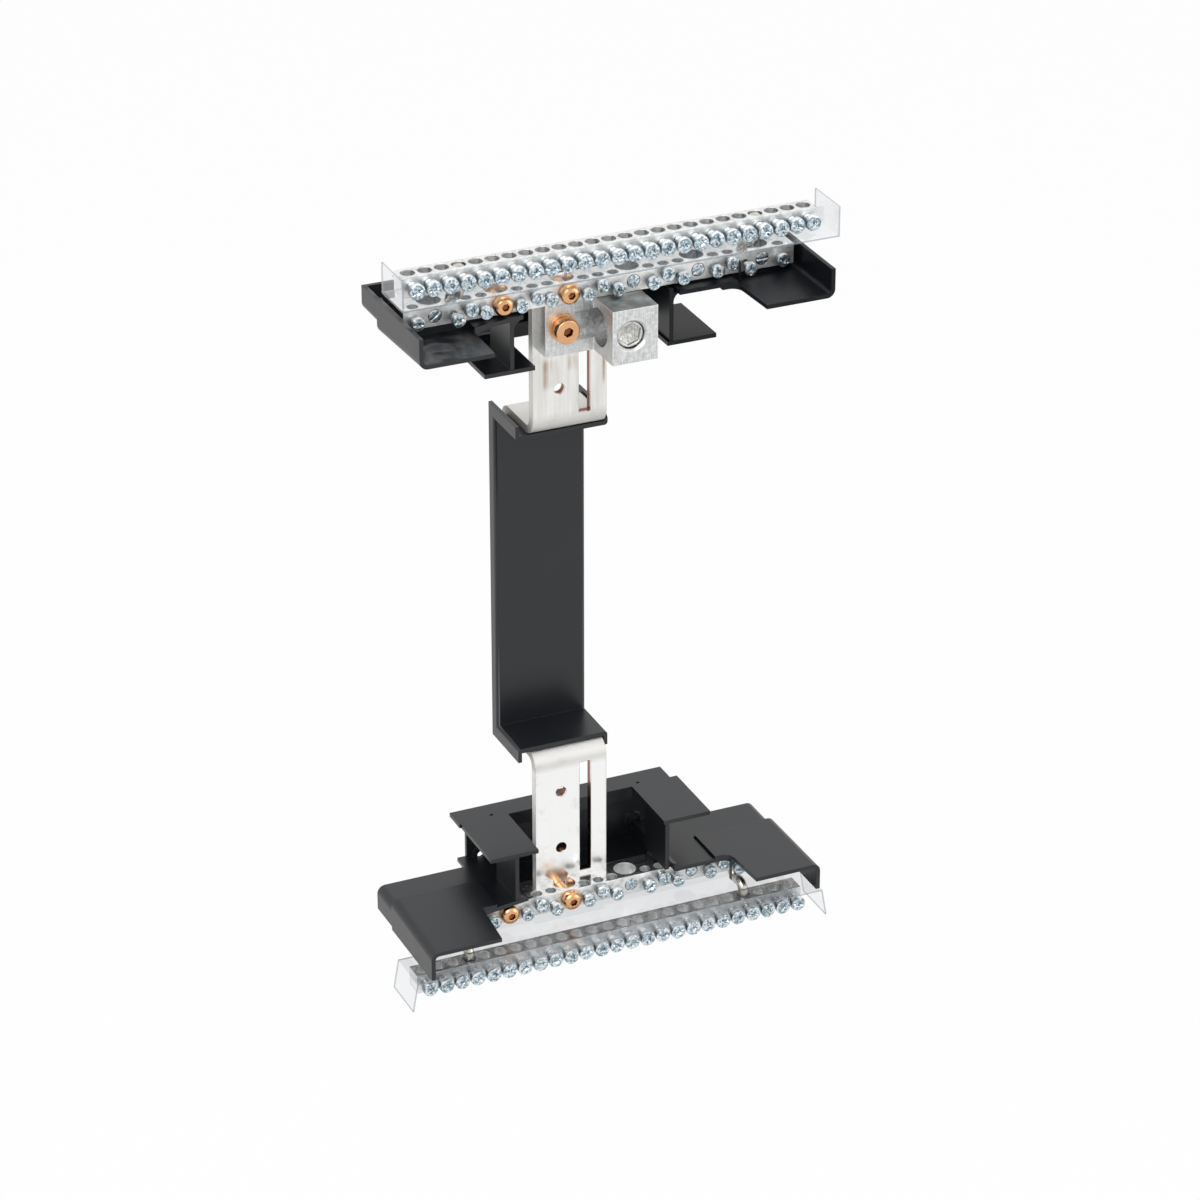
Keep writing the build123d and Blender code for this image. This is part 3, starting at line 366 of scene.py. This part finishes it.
relief = add_node(tree, "ShaderNodeBump", {"Strength": 0.2, "Distance": 0.0001, "Height": drawn.outputs["Fac"],
                                           "Normal": soft.outputs[0]})
connect(tree, shader, tone.outputs[2], gloss, relief)
shader.inputs["Metallic"].default_value = 1.0
dress(("upper_main_bar", "lower_main_bar", "upper_branch_bar", "lower_branch_bar"), bar_metal)

# ---------------------------------------------------------------------------
# Zinc plated terminal screws: low domed heads with a slot and a square socket, threaded shanks.
# One mesh per group, each screw turned by its own amount.
zinc, tree, shader, place = principled("zinc_plated_steel")
# the faces are mottled from grey blue to near white: painted glints over the plating's own patchy tone
mottle = add_node(tree, "ShaderNodeTexNoise", {"Vector": place.outputs["Object"], "Scale": 780.0, "Detail": 2.0})
tone = add_node(tree, "ShaderNodeValToRGB", {"Fac": mottle.outputs["Fac"]})
tone.color_ramp.elements[0].position = 0.4
tone.color_ramp.elements[0].color = linear("#8398a4")
tone.color_ramp.elements[1].position = 0.6
tone.color_ramp.elements[1].color = linear("#e2e9ed")
middle = tone.color_ramp.elements.new(0.5)
middle.color = linear("#b9c6ce")
facing = add_node(tree, "ShaderNodeNewGeometry")
turn = add_node(tree, "ShaderNodeSeparateXYZ", {0: facing.outputs["True Normal"]})
flat_y = add_node(tree, "ShaderNodeMath", {0: turn.outputs["Y"]}, operation="ABSOLUTE")
# painted glint and shade: the sides of heads and shanks are painted near white where they face up and dark grey
# elsewhere
is_side = add_node(tree, "ShaderNodeMapRange", {"Value": flat_y.outputs[0], "From Min": 0.75, "From Max": 0.35,
                                                "To Max": 0.9})
glint_on_top = add_node(tree, "ShaderNodeMapRange", {"Value": turn.outputs["Z"], "From Min": 0.5, "From Max": 0.85})
side_glint = add_node(tree, "ShaderNodeMix", {"Factor": glint_on_top.outputs[0], 6: linear("#727c82"),
                                             7: linear("#fdfefe")}, data_type="RGBA")
sides = add_node(tree, "ShaderNodeMix", {"Factor": is_side.outputs[0], 6: tone.outputs["Color"],
                                         7: side_glint.outputs[2]}, data_type="RGBA")
gloss = add_node(tree, "ShaderNodeMapRange", {"Value": mottle.outputs["Fac"], "To Min": 0.22, "To Max": 0.4})
nicks = add_node(tree, "ShaderNodeTexNoise", {"Vector": place.outputs["Object"], "Scale": 1500.0, "Detail": 3.0})
relief = add_node(tree, "ShaderNodeBump", {"Strength": 0.25, "Distance": 0.0001, "Height": nicks.outputs["Fac"]})
connect(tree, shader, sides.outputs[2], gloss, relief)
shader.inputs["Metallic"].default_value = 1.0

# the recess material is darker: painted shade in the recess, and the chromate and oil that gather there
recess_shade_and_oil = zinc.copy()
recess_shade_and_oil.name = "zinc_recess_shade_and_oil"
dark_ramp = next(n for n in recess_shade_and_oil.node_tree.nodes if n.type == "VALTORGB").color_ramp
dark_ramp.elements[0].color = linear("#4d6471")
dark_ramp.elements[1].color = linear("#7f949f")
dark_ramp.elements[2].color = linear("#d9e2e7")
next(n for n in recess_shade_and_oil.node_tree.nodes if n.type == "TEX_NOISE").inputs["Scale"].default_value = 1300.0

# millimetres: threads, and the depth from which a recess has its darker material
thread_pitch = 0.8
thread_step = 0.2
recess_depth = 0.3
# rings of points over the face of a head and round its shoulder
face_rings = 18
edge_rings = 4


def screw_mesh(name, points, faces, kinds, materials, stands_for):
    """A piece of the scene in place of a node; points are in millimetres, kinds gives each face its material."""
    mesh = bpy.data.meshes.new(name)
    mesh.from_pydata([(a / 1000, b / 1000, c / 1000) for a, b, c in points], [], faces)
    for material in materials:
        mesh.materials.append(material)
    mesh.polygons.foreach_set("material_index", kinds)
    mesh.shade_smooth()
    made = bpy.data.objects.new(name, mesh)
    bpy.context.scene.collection.objects.link(made)
    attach(made, "root")
    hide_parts(stands_for)
    return mesh


def screw_piece(name, heads, shape, drive, stands_for, materials):
    """One mesh of screws that point to the front.

    heads: centre of each head front in millimetres and the turn of its drive.
    shape: head radius, head height, crown, shoulder, shank radius, shank length, thread depth.
    drive: depth of the recess at a point of the head face.
    """
    head_r, head_high, crown, shoulder, shank_r, shank_long, thread = shape
    around = 48
    spins = [(math.cos(2 * math.pi * k / around), math.sin(2 * math.pi * k / around)) for k in range(around)]
    points, faces, kinds = [], [], []
    for x, y, z, turn in heads:
        cos_turn, sin_turn = math.cos(turn), math.sin(turn)

        def depth(u, v):
            return drive(u * cos_turn + v * sin_turn, v * cos_turn - u * sin_turn)

        rings = []
        for k in range(1, face_rings + 1):
            r = (head_r - shoulder) * k / face_rings
            rings.append([(r * c, r * s, crown * (1 - (r / head_r) ** 2) - depth(r * c, r * s)) for c, s in spins])
        edge = rings[-1][0][2]
        for k in range(1, edge_rings + 1):
            a = math.pi / 2 * k / edge_rings
            r = head_r - shoulder + shoulder * math.sin(a)
            rings.append([(r * c, r * s, edge - shoulder * (1 - math.cos(a))) for c, s in spins])
        for r, h in ((head_r, 0.15 - head_high), (head_r - 0.15, -head_high), (shank_r, -head_high)):
            rings.append([(r * c, r * s, h) for c, s in spins])
        count = int(shank_long / thread_step) if thread else 1
        for k in range(1, count + 1):
            h = -head_high - shank_long * k / count
            ring = []
            for n, (c, s) in enumerate(spins):
                phase = (h / thread_pitch + n / around) % 1.0
                r = shank_r - thread * abs(2 * phase - 1)
                ring.append((r * c, r * s, h))
            rings.append(ring)
        first = len(points)
        points += [(x, y - crown + depth(0, 0), z)]
        points += [(x + a, y - c, z + b) for ring in rings for a, b, c in ring]
        points += [(x, y + head_high + shank_long, z)]
        last = len(points) - 1
        for k in range(around):
            n = (k + 1) % around
            faces.append((first, first + 1 + k, first + 1 + n))
            kinds.append(1 if depth(0, 0) > recess_depth else 0)
            for level in range(len(rings) - 1):
                low = first + 1 + level * around
                faces.append((low + k, low + around + k, low + around + n, low + n))
                c, s = spins[k]
                r = (head_r - shoulder) * (level + 1) / face_rings
                kinds.append(1 if level < face_rings - 1 and depth(r * c, r * s) > recess_depth else 0)
            low = first + 1 + (len(rings) - 1) * around
            faces.append((low + n, low + k, last))
            kinds.append(0)
    screw_mesh(name, points, faces, kinds, materials, stands_for)


def slot_and_square(half_slot, half_square):
    """A drive that is a slot across the head with a square socket in its middle."""
    def depth(u, v):
        slot = max(0.0, min(1.0, (0.5 - abs(v)) / 0.15)) * max(0.0, min(1.0, (half_slot - abs(u)) / 0.3))
        square = max(0.0, min(1.0, (half_square - max(abs(u), abs(v))) / 0.25))
        return max(0.5 * slot, 0.95 * square)
    return depth


chance = random.Random(7)
# millimetres: pitches along X, heights of the bars, how far the small screws zigzag, fronts of the screws
terminal_pitch = 7.94
group_pitch = 31.76
branch_z = 176.5
main_z = 155.8
zigzag = 1.3
branch_front = -66.2
small_front = -53.0
set_front = -48.6
bond_front = -52.9
bond_places = (-37.58, -5.82)
branch_shape = (3.6, 2.9, 0.3, 0.3, 2.5, 4.15, 0.25)
small_shape = (3.15, 2.4, 0.25, 0.3, 2.2, 2.9, 0.22)
# middles of the groups of small screws along the main bar
groups = [10.06 + group_pitch * (n - 2) for n in range(5)]
small_places = [(groups[0] - 25.08, -zigzag)]
for x in groups:
    small_places += [(x - 7.25, -zigzag), (x, zigzag), (x + 7.25, -zigzag)]
small_places += [(groups[4] + 25.08, -zigzag)]
# how far each small screw stands out from its place in the CAD part, as the photograph shows; below 0 is deeper
backed_out = {
    "upper": (-1.0, 2.4, 0.0, -0.8, -0.9, -0.4, -1.7, -0.5, -1.0, -0.4, -0.7, -1.2, -0.2, -1.1, -0.8, 2.4, -1.0),
    "lower": (0, 0, 0, -0.1, -0.4, -0.7, 0.8, -0.4, -0.9, -0.3, -0.4, -0.3, -0.1, -0.9, -1.6, 1.2, 0),
}
for level, side in units:
    heads = [(11.0 + terminal_pitch * (n - 12), branch_front + chance.uniform(-0.3, 0.3), side * branch_z,
              chance.uniform(0, math.pi)) for n in range(25)]
    screw_piece(level + "_branch_screws_fine", heads, branch_shape, slot_and_square(2.9, 1.25),
                level + "_branch_screws", (zinc, recess_shade_and_oil))
    heads = [(x, small_front - out, side * main_z + shift, chance.uniform(0, math.pi))
             for (x, shift), out in zip(small_places, backed_out[level])]
    screw_piece(level + "_small_screws_fine", heads, small_shape, slot_and_square(2.5, 1.1),
                level + "_small_screws", (zinc, recess_shade_and_oil))


def plain_slot(u, v):
    """A drive that is one slot right across the screw, too shallow for the recess material."""
    return 0.3 * max(0.0, min(1.0, (0.55 - abs(v)) / 0.12))


# the slots of the large terminals stand at the angles that the photograph shows, in degrees
slot_turns = {"upper": (37, 97, 27, 1), "lower": (150, 78, 4, 120)}
large = [groups[0] - group_pitch / 2 + group_pitch * n for n in range(6)]
for level, side in units:
    heads = [(large[k], set_front, side * main_z, math.radians(turn))
             for k, turn in zip((0, 3, 4, 5), slot_turns[level])]
    screw_piece(level + "_set_screws_fine", heads, (3.1, 2.4, 0.15, 0.35, 2.9, 0.2, 0.0), plain_slot,
                level + "_set_screws", (zinc, recess_shade_and_oil))

# ---------------------------------------------------------------------------
# Bronze coloured socket screws of the strap joint, the lug bolt and its washer.
# The heads are rounded, and the hexagon sockets have a darker material, a painted shade.
bronze, tree, shader, place = principled("bronze_plated_steel")
mottle = add_node(tree, "ShaderNodeTexNoise", {"Vector": place.outputs["Object"], "Scale": 260.0, "Detail": 4.0})
tone = add_node(tree, "ShaderNodeMix", {"Factor": mottle.outputs["Fac"], 6: linear("#d79d6e"), 7: linear("#e7b98d")},
                data_type="RGBA")
gloss = add_node(tree, "ShaderNodeMapRange", {"Value": mottle.outputs["Fac"], "To Min": 0.16, "To Max": 0.36})
soft = add_node(tree, "ShaderNodeBevel", {"Radius": 0.0004}, samples=4)
relief = add_node(tree, "ShaderNodeBump", {"Strength": 0.2, "Distance": 0.0001, "Height": mottle.outputs["Fac"],
                                           "Normal": soft.outputs[0]})
connect(tree, shader, tone.outputs[2], gloss, relief)
shader.inputs["Metallic"].default_value = 1.0
dress(["lug_washer"], bronze)
bronze_socket_shade = bronze.copy()
bronze_socket_shade.name = "bronze_socket_painted_shade"
dark_mix = next(n for n in bronze_socket_shade.node_tree.nodes if n.type == "MIX")
dark_mix.inputs[6].default_value = linear("#6e3f22")
dark_mix.inputs[7].default_value = linear("#94603a")


def socket_screws(name, places, across, deep, cone, profile, stands_for, materials):
    """One mesh of screws with a hexagon socket that point to the front.

    places: centre of each face in millimetres and the turn of its socket.
    across, deep, cone: size of the socket over its flats, its depth, and how far its floor falls to the middle.
    profile: radius and height of each ring outside the socket, from the face to the end of the shank.
    """
    around = 72
    points, faces, kinds = [], [], []
    for x, y, z, turn in places:
        rings = []
        # the socket from its floor to the bevelled rim: share of its size, and height
        for share, h in ((0.5, -deep - 0.5 * cone), (0.98, -deep), (1.0, -0.3), (1.07, 0.0)):
            ring = []
            for k in range(around):
                a = 2 * math.pi * k / around
                r = share * across / 2 / math.cos((a % (math.pi / 3)) - math.pi / 6)
                ring.append((r * math.cos(a + turn), r * math.sin(a + turn), h))
            rings.append(ring)
        for r, h in profile:
            rings.append([(r * math.cos(2 * math.pi * k / around + turn), r * math.sin(2 * math.pi * k / around + turn),
                           h) for k in range(around)])
        first = len(points)
        points += [(x, y + deep + cone, z)]
        points += [(x + a, y - c, z + b) for ring in rings for a, b, c in ring]
        points += [(x, y - profile[-1][1], z)]
        last = len(points) - 1
        for k in range(around):
            n = (k + 1) % around
            faces.append((first, first + 1 + k, first + 1 + n))
            kinds.append(1)
            for level in range(len(rings) - 1):
                low = first + 1 + level * around
                faces.append((low + k, low + around + k, low + around + n, low + n))
                # the floor and the walls of the socket take the darker material, a painted shade; its rim doesn't
                kinds.append(1 if level < 2 else 0)
            low = first + 1 + (len(rings) - 1) * around
            faces.append((low + n, low + k, last))
            kinds.append(0)
    mesh = screw_mesh(name, points, faces, kinds, materials, stands_for)
    mesh.set_sharp_from_angle(angle=math.radians(35))


bond_profile = ((2.3, -0.02), (3.0, -0.18), (3.6, -0.5), (4.1, -0.95), (4.45, -1.5), (4.65, -2.1), (4.7, -2.6),
                (4.7, -4.2), (4.5, -4.3), (3.0, -4.4), (3.0, -19.8))
for level, side in units:
    places = [(x, bond_front, side * main_z, chance.uniform(0, 1)) for x in bond_places]
    socket_screws(level + "_bond_screws_fine", places, 3.1, 1.7, 0.6, bond_profile, level + "_bond_screws",
                  (bronze, bronze_socket_shade))
bolt_profile = ((4.9, 0.0), (5.35, -0.06), (5.62, -0.22), (5.8, -0.55), (5.8, -5.0), (5.6, -5.2), (3.15, -5.2),
                (3.15, -20.9))
socket_screws("lug_bolt_fine", [(-7.6, -52.9, 138.6, 0.3)], 4.0, 2.4, 0.9, bolt_profile, "lug_bolt",
              (bronze, bronze_socket_shade))

# ---------------------------------------------------------------------------
# Links between the bars: bright rods with a lumpy, flowed surface.
# Their shape is that of the CAD part; only the material is made here.
rod, tree, shader, place = principled("bright_rod_metal")
lumps = add_node(tree, "ShaderNodeTexNoise", {"Vector": place.outputs["Object"], "Scale": 380.0, "Detail": 3.0})
tone = add_node(tree, "ShaderNodeMix", {"Factor": lumps.outputs["Fac"], 6: linear("#a9a59c"), 7: linear("#e4e1da")},
                data_type="RGBA")
gloss = add_node(tree, "ShaderNodeMapRange", {"Value": lumps.outputs["Fac"], "To Min": 0.15, "To Max": 0.4})
relief = add_node(tree, "ShaderNodeBump", {"Strength": 0.6, "Distance": 0.0005, "Height": lumps.outputs["Fac"]})
connect(tree, shader, tone.outputs[2], gloss, relief)
shader.inputs["Metallic"].default_value = 1.0
dress(("upper_bar_links", "lower_bar_links"), rod)

# ---------------------------------------------------------------------------
# Clear sheets: thin glossy plastic with a slight haze.
# A ray meets shine and haze only where it enters the sheet; the thin cut faces are grey.
clear = bpy.data.materials.new("clear_plastic_sheet")
clear.use_nodes = True
tree = clear.node_tree
tree.nodes.clear()
place = add_node(tree, "ShaderNodeTexCoord")
smear = add_node(tree, "ShaderNodeTexNoise", {"Vector": place.outputs["Object"], "Scale": 45.0, "Detail": 3.0})
facing = add_node(tree, "ShaderNodeNewGeometry")
outside = add_node(tree, "ShaderNodeMath", {0: 1.0, 1: facing.outputs["Backfacing"]}, operation="SUBTRACT")
turn = add_node(tree, "ShaderNodeSeparateXYZ", {0: facing.outputs["True Normal"]})
where = add_node(tree, "ShaderNodeSeparateXYZ", {0: place.outputs["Object"]})
flat_y = add_node(tree, "ShaderNodeMath", {0: turn.outputs["Y"]}, operation="ABSOLUTE")
flat_z = add_node(tree, "ShaderNodeMath", {0: turn.outputs["Z"]}, operation="ABSOLUTE")
height = add_node(tree, "ShaderNodeMath", {0: where.outputs["Z"]}, operation="ABSOLUTE")
# the thin faces: the front and rear edges and the free edges of the end flaps
level_face = add_node(tree, "ShaderNodeMath", {0: flat_z.outputs[0], 1: 0.7}, operation="GREATER_THAN")
far_out = add_node(tree, "ShaderNodeMath", {0: height.outputs[0], 1: 0.178}, operation="GREATER_THAN")
flap_edge = add_node(tree, "ShaderNodeMath", {0: far_out.outputs[0], 1: level_face.outputs[0]}, operation="MULTIPLY")
upright_face = add_node(tree, "ShaderNodeMath", {0: flat_y.outputs[0], 1: 0.7}, operation="GREATER_THAN")
is_edge = add_node(tree, "ShaderNodeMath", {0: upright_face.outputs[0], 1: flap_edge.outputs[0]},
                   operation="MAXIMUM")
# the level part of the lower sheet has the most haze and a darker grey tint, a painted shade
low_sheet = add_node(tree, "ShaderNodeMath", {0: where.outputs["Z"], 1: 0.0}, operation="LESS_THAN")
haze_and_shade = add_node(tree, "ShaderNodeMath", {0: low_sheet.outputs[0], 1: level_face.outputs[0]}, operation="MULTIPLY")
least = add_node(tree, "ShaderNodeMath", {0: haze_and_shade.outputs[0], 1: 0.07, 2: 0.07}, operation="MULTIPLY_ADD")
haze = add_node(tree, "ShaderNodeMath", {0: smear.outputs["Fac"], 1: 0.12, 2: least.outputs[0]},
                operation="MULTIPLY_ADD")
haze = add_node(tree, "ShaderNodeMath", {0: haze.outputs[0], 1: outside.outputs[0]}, operation="MULTIPLY")
edge_haze = add_node(tree, "ShaderNodeMath", {0: is_edge.outputs[0], 1: 0.55}, operation="MULTIPLY")
haze_amount = add_node(tree, "ShaderNodeMath", {0: haze.outputs[0], 1: edge_haze.outputs[0]}, operation="MAXIMUM")
pane = add_node(tree, "ShaderNodeBsdfTransparent", {"Color": (0.955, 0.96, 0.965, 1.0)})
tint = add_node(tree, "ShaderNodeMix", {"Factor": haze_and_shade.outputs[0], 6: linear("#dddfe3"), 7: linear("#a3a3a8")},
                data_type="RGBA")
tint = add_node(tree, "ShaderNodeMix", {"Factor": is_edge.outputs[0], 6: tint.outputs[2], 7: linear("#8d9196")},
                data_type="RGBA")
haze = add_node(tree, "ShaderNodeBsdfDiffuse", {"Color": tint.outputs[2]})
shine = add_node(tree, "ShaderNodeBsdfGlossy", {"Color": white, "Roughness": 0.04})
edge_on = add_node(tree, "ShaderNodeFresnel", {"IOR": 1.52})
gleam = add_node(tree, "ShaderNodeMath", {0: edge_on.outputs[0], 1: outside.outputs[0]}, operation="MULTIPLY")
body = add_node(tree, "ShaderNodeMixShader", {0: haze_amount.outputs[0], 1: pane.outputs[0], 2: haze.outputs[0]})
full = add_node(tree, "ShaderNodeMixShader", {0: gleam.outputs[0], 1: body.outputs[0], 2: shine.outputs[0]})
add_node(tree, "ShaderNodeOutputMaterial", {"Surface": full.outputs[0]})
dress(("upper_clear_sheet", "lower_clear_sheet"), clear)

# ---------------------------------------------------------------------------
# Lug: satin plated aluminium with upright saw lines, and its socket set screw.
# Level top faces are darker in clouds, edges have a painted highlight, and the socket has a darker material, a painted
# shade.
lug, tree, shader, place = principled("satin_aluminium")
stretch = add_node(tree, "ShaderNodeMapping", {"Vector": place.outputs["Object"], "Scale": (1900.0, 1900.0, 110.0)})
sawn = add_node(tree, "ShaderNodeTexNoise", {"Vector": stretch.outputs[0], "Scale": 1.0, "Detail": 3.0})
pits = add_node(tree, "ShaderNodeTexNoise", {"Vector": place.outputs["Object"], "Scale": 700.0, "Detail": 4.0})
both = add_node(tree, "ShaderNodeMath", {0: sawn.outputs["Fac"], 1: pits.outputs["Fac"]}, operation="ADD")
tone = add_node(tree, "ShaderNodeMapRange", {"Value": both.outputs[0], "From Min": 0.7, "From Max": 1.3})
grey = add_node(tree, "ShaderNodeMix", {"Factor": tone.outputs[0], 6: linear("#b9bbbb"), 7: linear("#e6e7e6")},
                data_type="RGBA")
facing = add_node(tree, "ShaderNodeNewGeometry")
turn = add_node(tree, "ShaderNodeSeparateXYZ", {0: facing.outputs["True Normal"]})
upward = add_node(tree, "ShaderNodeMath", {0: turn.outputs["Z"], 1: 0.9}, operation="GREATER_THAN")
cloud = add_node(tree, "ShaderNodeTexNoise", {"Vector": place.outputs["Object"], "Scale": 110.0, "Detail": 2.0})
top_darkening = add_node(tree, "ShaderNodeMapRange", {"Value": cloud.outputs["Fac"], "From Min": 0.35, "From Max": 0.65,
                                              "To Min": 0.85, "To Max": 0.3})
top_darkening = add_node(tree, "ShaderNodeMath", {0: top_darkening.outputs[0], 1: upward.outputs[0]}, operation="MULTIPLY")
topped = add_node(tree, "ShaderNodeMix", {"Factor": top_darkening.outputs[0], 6: grey.outputs[2], 7: linear("#6d6e67")},
                  data_type="RGBA")
soft = add_node(tree, "ShaderNodeBevel", {"Radius": 0.0005}, samples=6)
# painted highlight: edges found by the bevel are painted near white
even = add_node(tree, "ShaderNodeVectorMath", {0: soft.outputs[0], 1: facing.outputs["True Normal"]},
                operation="DOT_PRODUCT")
on_edge = add_node(tree, "ShaderNodeMapRange", {"Value": even.outputs["Value"], "From Min": 0.97, "From Max": 0.85,
                                                "To Max": 0.9})
color = add_node(tree, "ShaderNodeMix", {"Factor": on_edge.outputs[0], 6: topped.outputs[2], 7: linear("#fbfbfa")},
                 data_type="RGBA")
gloss = add_node(tree, "ShaderNodeMapRange", {"Value": tone.outputs[0], "To Min": 0.36, "To Max": 0.52})
relief = add_node(tree, "ShaderNodeBump", {"Strength": 0.35, "Distance": 0.00015, "Height": both.outputs[0],
                                           "Normal": soft.outputs[0]})
connect(tree, shader, color.outputs[2], gloss, relief)
shader.inputs["Metallic"].default_value = 1.0
dress(["lug_body"], lug)
# painted shade: the socket of the set screw takes a darker copy of the satin aluminium
lug_socket_shade = lug.copy()
lug_socket_shade.name = "aluminium_socket_painted_shade"
dark_mix = next(n for n in lug_socket_shade.node_tree.nodes if n.type == "MIX" and not n.inputs[6].is_linked
                and not n.inputs[7].is_linked)
dark_mix.inputs[6].default_value = linear("#8b8c86")
dark_mix.inputs[7].default_value = linear("#e4e4de")
lug_screw_profile = ((5.75, -0.02), (6.0, -0.1), (6.25, -0.45), (6.3, -0.7), (6.3, -3.3), (6.0, -3.5))
socket_screws("lug_set_screw_fine", [(17.2, -64.4, 137.95, 0.35)], 9.6, 1.8, 1.4, lug_screw_profile,
              "lug_set_screw", (lug, lug_socket_shade))
